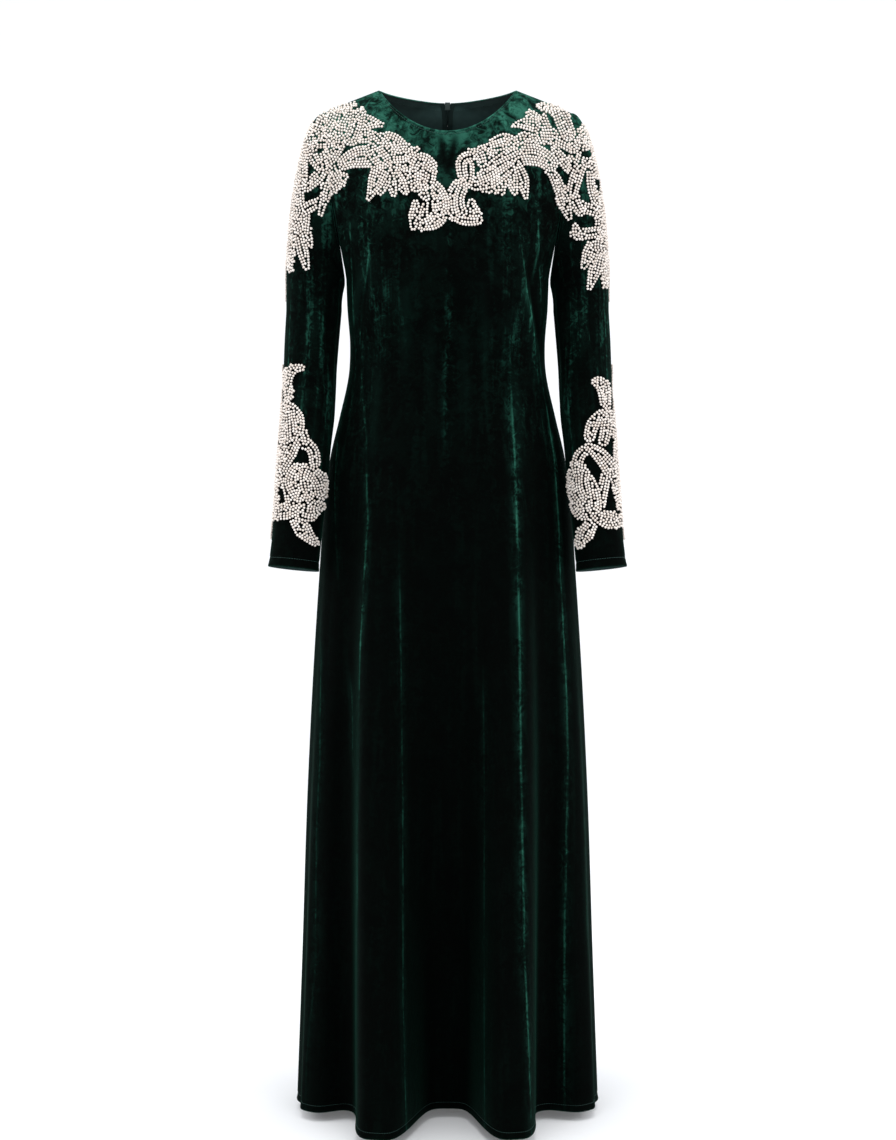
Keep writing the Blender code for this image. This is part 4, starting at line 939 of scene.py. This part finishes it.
CUFF_RIGHT = (
    (-197, 386, -216, 385, -216, 408, 10, 16, 14),
    (-216, 405, -212, 418, -215, 428, 14, 12, 10),
    (-224, 397, -226, 429, -226, 481, 4, 5, 8),
    (-216, 433, -219, 456, -219, 481, 8, 14, 18),
    (-211, 436, -200, 451, -202, 471, 8, 18, 16),
    (-200, 471, -192, 477, -193, 486, 11, 12, 11),
    (-206, 482, -218, 497, -226, 524, 22, 27, 19),
    (-196, 489, -180, 491, -181, 514, 16, 16, 16),
    (-204, 523, -215, 540, -202, 559, 18, 24, 19),
    (-192, 524, -172, 532, -173, 555, 18, 23, 19),
    (-195, 538, -190, 547, -191, 558, 19, 22, 19),
    (-228, 524, -234, 548, -235, 584, 15, 8, 19),
    (-222, 532, -217, 551, -211, 572, 11, 12, 16),
    (-233, 582, -220, 582, -203, 574, 20, 24, 19),
    (-201, 570, -184, 574, -173, 573, 18, 20, 11),
    (-196, 581, -186, 584, -177, 582, 14, 16, 8),
    (-201, 587, -192, 589, -186, 591, 11, 12, 7),
    (-209, 588, -198, 606, -182, 623, 15, 24, 11),
)
CUFF_LEFT = (
    (201, 405, 211, 402, 212, 433, 14, 19, 14),
    (226, 408, 226, 436, 225, 464, 5, 5, 5),
    (227, 470, 230, 497, 233, 524, 7, 11, 14),
    (208, 447, 195, 459, 193, 479, 11, 18, 16),
    (215, 444, 216, 464, 211, 485, 11, 16, 15),
    (191, 493, 207, 500, 221, 524, 12, 20, 23),
    (195, 496, 177, 497, 177, 521, 15, 16, 16),
    (179, 521, 168, 543, 180, 562, 18, 23, 22),
    (191, 538, 198, 554, 199, 574, 18, 22, 22),
    (185, 529, 187, 543, 191, 557, 19, 22, 19),
    (221, 519, 233, 540, 237, 574, 20, 18, 15),
    (215, 528, 211, 548, 207, 570, 14, 15, 16),
    (203, 584, 218, 596, 237, 592, 18, 26, 16),
    (176, 572, 186, 584, 202, 581, 16, 26, 19),
    (197, 596, 188, 611, 180, 626, 18, 24, 10),
)

# Strokes of the sleeves' outer sides, the same on both: the way round from the front line, with
# the outermost line at 63, and the drop
SHOULDER_SIDE = (
    (62, 58, 84, 108, 68, 160, 16, 20, 14),
    (68, 158, 50, 206, 66, 262, 14, 18, 10),
    (76, 92, 100, 76, 114, 104, 18, 24, 8),
    (80, 130, 110, 116, 114, 158, 20, 28, 8),
    (64, 178, 98, 168, 100, 212, 18, 24, 8),
    (62, 226, 84, 232, 80, 262, 14, 18, 8),
    (54, 82, 46, 96, 52, 114, 12, 16, 10),
    (66, 254, 78, 270, 70, 288, 12, 14, 6),
)
CUFF_SIDE = (
    (64, 384, 86, 404, 70, 438, 10, 14, 12),
    (70, 436, 52, 470, 74, 502, 12, 18, 16),
    (74, 500, 102, 500, 98, 528, 16, 16, 16),
    (98, 526, 92, 558, 66, 548, 16, 18, 18),
    (66, 548, 52, 528, 68, 508, 16, 18, 16),
    (76, 518, 80, 526, 82, 534, 20, 24, 20),
    (80, 416, 98, 426, 100, 452, 12, 16, 6),
    (74, 452, 96, 460, 100, 484, 14, 18, 6),
    (74, 560, 84, 588, 106, 602, 16, 22, 8),
    (64, 560, 58, 590, 66, 618, 16, 18, 8),
)


def stroke_shape(row):
    """A stroke's spine from its table row, and its half width all along."""
    x0, y0, x1, y1, x2, y2, wide0, wide1, wide2 = (value / 1000 for value in row)
    t = np.linspace(0.0, 1.0, 81)
    spine = np.stack([
        x0 * (1 - t) ** 2 + 2 * x1 * t * (1 - t) + x2 * t * t,
        y0 * (1 - t) ** 2 + 2 * y1 * t * (1 - t) + y2 * t * t,
    ], axis=-1)
    return spine, np.interp(t, (0.0, 0.5, 1.0), (wide0, wide1, wide2)) / 2


def stroke_rows(row):
    """Bead places in rows that follow a stroke's outline, the outermost row first."""
    spine, half = stroke_shape(row)
    along = unit(np.gradient(spine, axis=0))
    aside = np.stack([-along[:, 1], along[:, 0]], axis=-1)
    turn = np.linspace(0, math.pi, 13)[:, None]
    for inset in np.arange(0.45, 8.0, 0.9) * BEAD_PITCH:
        inner = half - inset
        kept = np.flatnonzero(inner > 0)
        if len(kept) < 2:
            break
        inner = np.maximum(inner, 0.0)[:, None]
        ends = [
            spine[k] + inner[k] * way * (aside[k] * np.cos(turn) + along[k] * np.sin(turn))
            for k, way in ((kept[-1], 1.0), (kept[0], -1.0))
        ]
        span = slice(kept[0], kept[-1] + 1)
        line = np.concatenate([
            (spine + aside * inner)[span], ends[0], (spine - aside * inner)[span][::-1], ends[1],
        ])
        run = np.concatenate([[0], np.cumsum(np.linalg.norm(np.diff(line, axis=0), axis=1))])
        count = max(1, int(run[-1] / BEAD_PITCH))
        for at in np.arange(count) / count * run[-1]:
            yield np.interp(at, run, line[:, 0]), np.interp(at, run, line[:, 1])


def stroke_fill(row):
    """A fine grid of places within a stroke and just beyond its outline."""
    spine, half = stroke_shape(row)
    low, high = (spine - half.max()).min(axis=0), (spine + half.max()).max(axis=0)
    x, y = np.meshgrid(np.arange(low[0], high[0], FILL_STEP), np.arange(low[1], high[1], FILL_STEP))
    spots = np.stack([x.ravel(), y.ravel()], axis=-1)
    away = np.linalg.norm(spots[:, None] - spine[None], axis=2) - half
    return spots[away.min(axis=1) < FILL_REACH]


def surface_tree(grid, normals, closed=False):
    """The cloth's face, its faces turned outward, for finding where a line meets it."""
    if np.sum(outward_normals(grid, closed) * normals) < 0:
        grid = grid[:, ::-1]
    faces = grid_faces(*grid.shape[:2], closed)
    return BVHTree.FromPolygons(grid.reshape(-1, 3).tolist(), faces.tolist())


front_surface = surface_tree(front_grid, front_normals)
sleeve_surfaces = {
    side: surface_tree(grid, sleeve_normals[side], closed=True) for side, grid in sleeve_grids.items()
}


def seen_place(x, drop):
    """Where the eye's line through a point of the upright plane meets the face of the dress."""
    way = unit(np.array([x, STROKE_PLANE, -drop]) - np.array(EYE))
    hits = [tree.ray_cast(EYE, tuple(way)) for tree in (front_surface, *sleeve_surfaces.values())]
    hits = [hit for hit in hits if hit[0] is not None]
    if hits:
        point, normal, _, _ = min(hits, key=lambda hit: hit[3])
        if np.array(normal) @ way < -MOST_SLANTING:
            return np.array(point), np.array(normal)


def outer_place(side):
    """A place on a sleeve from the way round it and the drop."""
    def place(around, drop):
        out, fore = (float(value) for value in arm_axis(drop))
        angle = around / SLEEVE_ROUND
        way = np.array([side * math.sin(angle), -math.cos(angle), 0.0])
        start = np.array([side * out, -fore, -drop]) + way * 0.15
        point, normal, _, _ = sleeve_surfaces[side].ray_cast(tuple(start), tuple(-way))
        if point is not None and np.array(normal) @ way > MOST_SLANTING:
            return np.array(point), np.array(normal)

    return place


taken = {}


def bead_seats(strokes, place):
    """Seats on the cloth for a table of strokes, none too near to another bead anywhere."""
    seats = []
    for places, share in ((stroke_rows, ROW_SHARE), (stroke_fill, FILL_SHARE)):
        for x, y in (spot for row in strokes for spot in places(row)):
            seat = place(*((x, y) + small_shift.uniform(-1.0, 1.0, 2) * BEAD_PITCH * PLACE_JITTER))
            if seat is None:
                continue
            cell = np.floor(seat[0] / BEAD_PITCH).astype(int)
            near = (
                other for di in (-1, 0, 1) for dj in (-1, 0, 1) for dk in (-1, 0, 1)
                for other in taken.get((cell[0] + di, cell[1] + dj, cell[2] + dk), ())
            )
            if all(math.dist(seat[0], other) >= share * BEAD_PITCH for other in near):
                taken.setdefault(tuple(cell), []).append(tuple(seat[0]))
                seats.append(seat)
    return seats


def group_tree(name, inputs):
    """An empty Geometry Nodes tree with a geometry in and out and the named inputs."""
    tree = bpy.data.node_groups.new(name, "GeometryNodeTree")
    tree.interface.new_socket("Geometry", in_out="INPUT", socket_type="NodeSocketGeometry")
    tree.interface.new_socket("Geometry", in_out="OUTPUT", socket_type="NodeSocketGeometry")
    for label, kind in inputs:
        tree.interface.new_socket(label, in_out="INPUT", socket_type=kind)
    return tree, tree.nodes.new("NodeGroupInput"), tree.nodes.new("NodeGroupOutput")


def bead_tree():
    """A bead on every point, squashed a little onto the cloth, its axis along the point's own."""
    tree, given, made = group_tree("beads_on_cloth", (
        ("Bead Width", "NodeSocketFloat"), ("Bead Height", "NodeSocketFloat"),
        ("Finish", "NodeSocketMaterial"),
    ))
    new, link = tree.nodes.new, tree.links.new
    bead = new("GeometryNodeMeshUVSphere")
    bead.inputs["Segments"].default_value = 8
    bead.inputs["Rings"].default_value = 5
    bead.inputs["Radius"].default_value = 0.5
    shape = new("ShaderNodeCombineXYZ")
    link(given.outputs["Bead Width"], shape.inputs["X"])
    link(given.outputs["Bead Width"], shape.inputs["Y"])
    link(given.outputs["Bead Height"], shape.inputs["Z"])
    sized = new("GeometryNodeTransform")
    link(bead.outputs["Mesh"], sized.inputs["Geometry"])
    link(shape.outputs[0], sized.inputs["Scale"])
    smooth = new("GeometryNodeSetShadeSmooth")
    link(sized.outputs[0], smooth.inputs["Geometry"])
    facing = new("GeometryNodeInputNamedAttribute")
    facing.data_type = "FLOAT_VECTOR"
    facing.inputs["Name"].default_value = "facing"
    size = new("GeometryNodeInputNamedAttribute")
    size.data_type = "FLOAT"
    size.inputs["Name"].default_value = "size"
    turned = new("FunctionNodeAlignRotationToVector")
    turned.axis = "Z"
    link(facing.outputs["Attribute"], turned.inputs["Vector"])
    placed = new("GeometryNodeInstanceOnPoints")
    link(given.outputs["Geometry"], placed.inputs["Points"])
    link(smooth.outputs[0], placed.inputs["Instance"])
    link(turned.outputs[0], placed.inputs["Rotation"])
    link(size.outputs["Attribute"], placed.inputs["Scale"])
    real = new("GeometryNodeRealizeInstances")
    link(placed.outputs[0], real.inputs[0])
    finish = new("GeometryNodeSetMaterial")
    link(real.outputs[0], finish.inputs["Geometry"])
    link(given.outputs["Finish"], finish.inputs["Material"])
    link(finish.outputs[0], made.inputs["Geometry"])
    return tree


def grown(name, source, tree, values, body="dress"):
    """Runs a tree on a mesh and keeps the result as a plain mesh object."""
    seed = bpy.data.objects.new(name + "_points", source)
    bpy.context.scene.collection.objects.link(seed)
    run = seed.modifiers.new("grow", "NODES")
    run.node_group = tree
    for item in tree.interface.items_tree:
        if item.in_out == "INPUT" and item.name in values:
            run[item.identifier] = values[item.name]
    seed.update_tag()
    graph = bpy.context.evaluated_depsgraph_get()
    mesh = bpy.data.meshes.new_from_object(seed.evaluated_get(graph))
    mesh.name = name
    made = bpy.data.objects.new(name, mesh)
    bpy.context.scene.collection.objects.link(made)
    bpy.data.objects.remove(seed)
    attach(made, body)
    return made


def bead_finish():
    """Pearl coated glass: pale rose, a little different from bead to bead, with a soft gleam."""
    made, tree, shader = new_finish(
        "pearl_bead", Roughness=0.30, Specular_IOR_Level=0.45, Coat_Weight=0.25, Coat_Roughness=0.12
    )
    coords = Shade.node(tree, "ShaderNodeTexCoord", output="Object")
    own = Shade.node(
        tree, "ShaderNodeTexVoronoi", None, {"Vector": coords, "Scale": 1 / BEAD_PITCH}, "Color"
    )
    shade = Shade.node(tree, "ShaderNodeSeparateColor", None, {0: own}).out("Red")
    colour = shade.mixed(*BEAD_SHADES)
    tree.links.new(colour.socket, shader.inputs["Base Color"])
    tree.links.new((0.22 + shade * 0.16).socket, shader.inputs["Roughness"])
    return made


pearl = bead_finish()
beads_on_cloth = bead_tree()
small_shift = np.random.default_rng(7)
for node, strokes, side_strokes, side in (
    ("beads_chest_right", CHEST_RIGHT, (), -1.0),
    ("beads_chest_left", CHEST_LEFT, (), 1.0),
    ("beads_shoulder_right", SHOULDER_RIGHT, SHOULDER_SIDE, -1.0),
    ("beads_shoulder_left", SHOULDER_LEFT, SHOULDER_SIDE, 1.0),
    ("beads_cuff_right", CUFF_RIGHT, CUFF_SIDE, -1.0),
    ("beads_cuff_left", CUFF_LEFT, CUFF_SIDE, 1.0),
):
    seats = bead_seats(strokes, seen_place) + bead_seats(side_strokes, outer_place(side))
    points = bpy.data.meshes.new(node + "_seats")
    middles = [tuple(point + normal * BEAD_SIZE * BEAD_SEAT_SHARE) for point, normal in seats]
    points.from_pydata(middles, [], [])
    facing = points.attributes.new("facing", "FLOAT_VECTOR", "POINT")
    facing.data.foreach_set("vector", np.array([normal for _, normal in seats], np.float32).ravel())
    sizes = points.attributes.new("size", "FLOAT", "POINT")
    sizes.data.foreach_set("value", small_shift.uniform(0.90, 1.04, len(seats)).astype(np.float32))
    beads = grown(node + "_sewn", points, beads_on_cloth, {
        "Bead Width": BEAD_SIZE, "Bead Height": BEAD_SIZE * BEAD_HEIGHT_SHARE, "Finish": pearl,
    })
    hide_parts(node)


# Stitching: single rows of matching thread that hold the turned neck, hem and cuffs.
STITCH_LENGTH = 0.0026
STITCH_PITCH = 0.0034
THREAD = 0.0006


def stitch_tree():
    """A short rounded stitch at even steps along each line of points."""
    tree, given, made = group_tree("row_of_stitches", (
        ("Pitch", "NodeSocketFloat"), ("Length", "NodeSocketFloat"), ("Thread", "NodeSocketFloat"),
        ("Finish", "NodeSocketMaterial"),
    ))
    new, link = tree.nodes.new, tree.links.new
    line = new("GeometryNodeMeshToCurve")
    link(given.outputs["Geometry"], line.inputs["Mesh"])
    even = new("GeometryNodeResampleCurve")
    even.mode = "LENGTH"
    link(line.outputs[0], even.inputs["Curve"])
    link(given.outputs["Pitch"], even.inputs["Length"])
    stitch = new("GeometryNodeMeshUVSphere")
    stitch.inputs["Segments"].default_value = 6
    stitch.inputs["Rings"].default_value = 4
    stitch.inputs["Radius"].default_value = 0.5
    shape = new("ShaderNodeCombineXYZ")
    link(given.outputs["Thread"], shape.inputs["X"])
    link(given.outputs["Thread"], shape.inputs["Y"])
    link(given.outputs["Length"], shape.inputs["Z"])
    sized = new("GeometryNodeTransform")
    link(stitch.outputs["Mesh"], sized.inputs["Geometry"])
    link(shape.outputs[0], sized.inputs["Scale"])
    smooth = new("GeometryNodeSetShadeSmooth")
    link(sized.outputs[0], smooth.inputs["Geometry"])
    tangent = new("GeometryNodeInputTangent")
    turned = new("FunctionNodeAlignRotationToVector")
    turned.axis = "Z"
    link(tangent.outputs[0], turned.inputs["Vector"])
    placed = new("GeometryNodeInstanceOnPoints")
    link(even.outputs[0], placed.inputs["Points"])
    link(smooth.outputs[0], placed.inputs["Instance"])
    link(turned.outputs[0], placed.inputs["Rotation"])
    real = new("GeometryNodeRealizeInstances")
    link(placed.outputs[0], real.inputs[0])
    finish = new("GeometryNodeSetMaterial")
    link(real.outputs[0], finish.inputs["Geometry"])
    link(given.outputs["Finish"], finish.inputs["Material"])
    link(finish.outputs[0], made.inputs["Geometry"])
    return tree


def row_at(grid, normals_out, away_from_edge, away, columns, inside=False):
    """Points of a stitched line at one distance from an edge, on the face or the reverse."""
    line = []
    for j in columns:
        order = np.argsort(away[:, j])
        point = [np.interp(away_from_edge, away[order, j], grid[order, j, k]) for k in range(3)]
        normal = [np.interp(away_from_edge, away[order, j], normals_out[order, j, k]) for k in range(3)]
        stand = -(CLOTH + THREAD * 0.2) if inside else THREAD * 0.2
        line.append(np.array(point) + np.array(normal) * stand)
    return line


def thread_finish():
    made, tree, shader = new_finish("thread", Roughness=0.55, Specular_IOR_Level=0.3)
    coords = Shade.node(tree, "ShaderNodeTexCoord", output="Object")
    colour = grain(tree, coords, 300.0).mixed((0.010, 0.040, 0.034, 1.0), (0.030, 0.075, 0.066, 1.0))
    tree.links.new(colour.socket, shader.inputs["Base Color"])
    return made


thread = thread_finish()
row_of_stitches = stitch_tree()


def sew(name, lines, closed):
    points, joins = [], []
    for line in lines:
        first = len(points)
        points += [tuple(point) for point in line]
        joins += [(first + k, first + k + 1) for k in range(len(line) - 1)]
        if closed:
            joins.append((len(points) - 1, first))
    mesh = bpy.data.meshes.new(name + "_line")
    mesh.from_pydata(points, joins, [])
    row = grown(name, mesh, row_of_stitches, {
        "Pitch": STITCH_PITCH, "Length": STITCH_LENGTH, "Thread": THREAD, "Finish": thread,
    })


front_run, back_run = run_down(front_grid), run_down(back_grid)
all_columns = range(1, PANEL_COLUMNS)
neck = [j for j in all_columns if abs(front_base[0, j, 0]) < NECK_HALF_WIDTH - 0.003]
back_neck = [[j for j in neck if j < middle - 2], [j for j in neck if j > middle + 2]]
neck_lines = [row_at(front_grid, front_normals, NECK_STITCHED["front"], front_run, neck)]
neck_lines += [
    row_at(back_grid, back_normals, NECK_STITCHED["back"], back_run, half, inside)
    for inside in (False, True) for half in back_neck
]
sew("neck_stitches", neck_lines, False)
sew("hem_stitches", [
    row_at(grid, normals, HEM_STITCHED, run[-1] - run, all_columns)
    for grid, normals, run in ((front_grid, front_normals, front_run), (back_grid, back_normals, back_run))
], False)
cuff_lines = []
for side, grid in sleeve_grids.items():
    run = run_down(grid)
    cuff_columns = range(grid.shape[1])
    cuff_lines.append(row_at(grid, sleeve_normals[side], CUFF_STITCHED, run[-1] - run, cuff_columns))
sew("cuff_stitches", cuff_lines, True)


# Zip: a nylon coil on two woven tapes, sewn inside the centre-back seam, closed. The slider sits
# at the neck with its bridge through the notch, and the pull tab hangs outside the back.
COIL_PITCH = 0.0016
COIL_HALF_WIDTH = 0.0017
COIL_HEIGHT = 0.0010
COIL_THREAD = 0.0006
COIL_START_DROP = 0.022
COIL_END_DROP = 0.52
TAPE_BEHIND = 0.0028


def coil_tree():
    """A round thread along each line of points."""
    tree, given, made = group_tree("coil_thread", (
        ("Thread", "NodeSocketFloat"), ("Finish", "NodeSocketMaterial"),
    ))
    new, link = tree.nodes.new, tree.links.new
    line = new("GeometryNodeMeshToCurve")
    link(given.outputs["Geometry"], line.inputs["Mesh"])
    ring = new("GeometryNodeCurvePrimitiveCircle")
    ring.inputs["Resolution"].default_value = 5
    radius = new("ShaderNodeMath")
    radius.operation = "MULTIPLY"
    link(given.outputs["Thread"], radius.inputs[0])
    radius.inputs[1].default_value = 0.5
    link(radius.outputs[0], ring.inputs["Radius"])
    tube = new("GeometryNodeCurveToMesh")
    tube.inputs["Fill Caps"].default_value = True
    link(line.outputs[0], tube.inputs["Curve"])
    link(ring.outputs[0], tube.inputs["Profile Curve"])
    real = new("GeometryNodeRealizeInstances")
    link(tube.outputs[0], real.inputs[0])
    finish = new("GeometryNodeSetMaterial")
    link(real.outputs[0], finish.inputs["Geometry"])
    link(given.outputs["Finish"], finish.inputs["Material"])
    link(finish.outputs[0], made.inputs["Geometry"])
    return tree


def coil_line(side):
    """Points of one tape's coil, looping over the middle of the zip inside the back."""
    centre, facing = back_grid[:, middle], back_normals[:, middle]
    drop = np.arange(COIL_START_DROP, COIL_END_DROP, COIL_PITCH / 8)
    turn = np.arange(len(drop)) / 8 * 2 * math.pi + (0 if side < 0 else math.pi)
    at = np.stack([np.interp(drop, -centre[:, 2], centre[:, k]) for k in range(3)], axis=-1)
    out = np.stack([np.interp(drop, -centre[:, 2], facing[:, k]) for k in range(3)], axis=-1)
    at = at - out * (TAPE_BEHIND + COIL_HEIGHT * (0.5 + 0.5 * np.sin(turn)))[:, None]
    at[:, 0] = side * COIL_HALF_WIDTH * (0.40 + 0.62 * np.cos(turn))
    return at


def tape_finish():
    made, tree, shader = new_finish("zip_tape_weave", Roughness=0.8, Specular_IOR_Level=0.2)
    coords = Shade.node(tree, "ShaderNodeTexCoord", output="Object")
    ribs = Shade.node(
        tree, "ShaderNodeTexWave", {"bands_direction": "DIAGONAL"}, {"Vector": coords, "Scale": 500.0}
    )
    colour = ribs.mixed((0.006, 0.016, 0.015, 1.0), (0.014, 0.032, 0.030, 1.0))
    tree.links.new(colour.socket, shader.inputs["Base Color"])
    bump = Shade.node(tree, "ShaderNodeBump", None, {"Distance": 1.0, "Height": ribs * 0.0001})
    tree.links.new(bump.socket, shader.inputs["Normal"])
    return made


def enamel_finish():
    """Stove enamel in the cloth's colour, rubbed to bare metal in small places."""
    made, tree, shader = new_finish("zip_enamel", Specular_IOR_Level=0.5)
    coords = Shade.node(tree, "ShaderNodeTexCoord", output="Object")
    worn = grain(tree, coords, 900.0, 3.0).between(0.62, 0.72)
    colour = worn.mixed((0.030, 0.050, 0.046, 1.0), (0.30, 0.31, 0.30, 1.0))
    tree.links.new(colour.socket, shader.inputs["Base Color"])
    tree.links.new((0.30 + worn * 0.2).socket, shader.inputs["Roughness"])
    tree.links.new((0.35 + worn * 0.6).socket, shader.inputs["Metallic"])
    return made


tape_weave, enamel = tape_finish(), enamel_finish()
coil_thread = coil_tree()
for side, hand in ((-1.0, "right"), (1.0, "left")):
    points = coil_line(side)
    mesh = bpy.data.meshes.new("coil_line_" + hand)
    mesh.from_pydata(points.tolist(), [(k, k + 1) for k in range(len(points) - 1)], [])
    coil = grown("zip_coil_" + hand, mesh, coil_thread, {"Thread": COIL_THREAD, "Finish": tape_weave})
for node, finish in (
    ("zip_tape_right", tape_weave), ("zip_tape_left", tape_weave),
    ("zip_slider", enamel), ("zip_pull_tab", enamel),
):
    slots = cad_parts[node].data.materials
    slots.clear()
    slots.append(finish)


# Stage: the dress stands on nothing but the shoulders inside it. Behind and under it runs one
# plain pale sweep, and the light is a white room with a large soft lamp above.
FLOOR = -1.432
SWEEP_REACH = 9.0
SWEEP_TURN = 3.2
SWEEP_RADIUS = 1.6
SWEEP_TOP = 5.0
FOCAL_PIXELS = 2428
PHOTO_HEIGHT_PIXELS = 1140
SENSOR = 36
LOOK_DOWN = 3.643

sweep_line = [(-SWEEP_REACH, FLOOR), (SWEEP_TURN, FLOOR)]
sweep_line += [
    (SWEEP_TURN + SWEEP_RADIUS * math.sin(a), FLOOR + SWEEP_RADIUS * (1 - math.cos(a)))
    for a in np.linspace(0.1, math.pi / 2, 12)
]
sweep_line += [(SWEEP_TURN + SWEEP_RADIUS, SWEEP_TOP)]
points = [(x, y, z) for x in (-SWEEP_REACH, SWEEP_REACH) for y, z in sweep_line]
count = len(sweep_line)
mesh = bpy.data.meshes.new("sweep")
mesh.from_pydata(points, [], [(k, k + 1, k + 1 + count, k + count) for k in range(count - 1)])
mesh.shade_smooth()
sweep = bpy.data.objects.new("sweep", mesh)
bpy.context.scene.collection.objects.link(sweep)
paper, tree, shader = new_finish(
    "pale_paper", Base_Color=(0.86, 0.87, 0.89, 1.0), Roughness=0.9, Specular_IOR_Level=0.1,
    Emission_Color=(1.0, 1.0, 1.0, 1.0), Emission_Strength=0.08,
)
mesh.materials.append(paper)

world = bpy.data.worlds.new("white_room")
world.use_nodes = True
world.node_tree.nodes["Background"].inputs["Color"].default_value = (0.97, 0.985, 1.0, 1.0)
world.node_tree.nodes["Background"].inputs["Strength"].default_value = 0.96
bpy.context.scene.world = world

for name, place, aim, size, power in (
    ("lamp_above", (0.0, -0.6, 2.6), (0.0, 0.0, -0.4), 1.6, 60.0),
    ("lamp_right", (2.4, -0.4, 0.2), (0.0, 0.0, -0.6), 1.2, 18.0),
    ("lamp_left", (-2.4, -0.4, 0.2), (0.0, 0.0, -0.6), 1.2, 18.0),
):
    data = bpy.data.lights.new(name, "AREA")
    data.size = size
    data.energy = power
    lamp = bpy.data.objects.new(name, data)
    lamp.location = place
    away = np.array(place) - np.array(aim)
    tilt = math.acos(away[2] / np.linalg.norm(away))
    lamp.rotation_euler = (tilt, 0.0, math.atan2(away[1], away[0]) + math.pi / 2)
    bpy.context.scene.collection.objects.link(lamp)

camera = bpy.data.objects.new("camera", bpy.data.cameras.new("camera"))
camera.location = EYE
camera.rotation_euler = (math.radians(90 - LOOK_DOWN), 0.0, 0.0)
camera.data.lens = FOCAL_PIXELS / PHOTO_HEIGHT_PIXELS * SENSOR
camera.data.shift_x = 0.5 / PHOTO_HEIGHT_PIXELS
bpy.context.scene.collection.objects.link(camera)
bpy.context.scene.camera = camera
bpy.context.scene.view_settings.view_transform = "Standard"
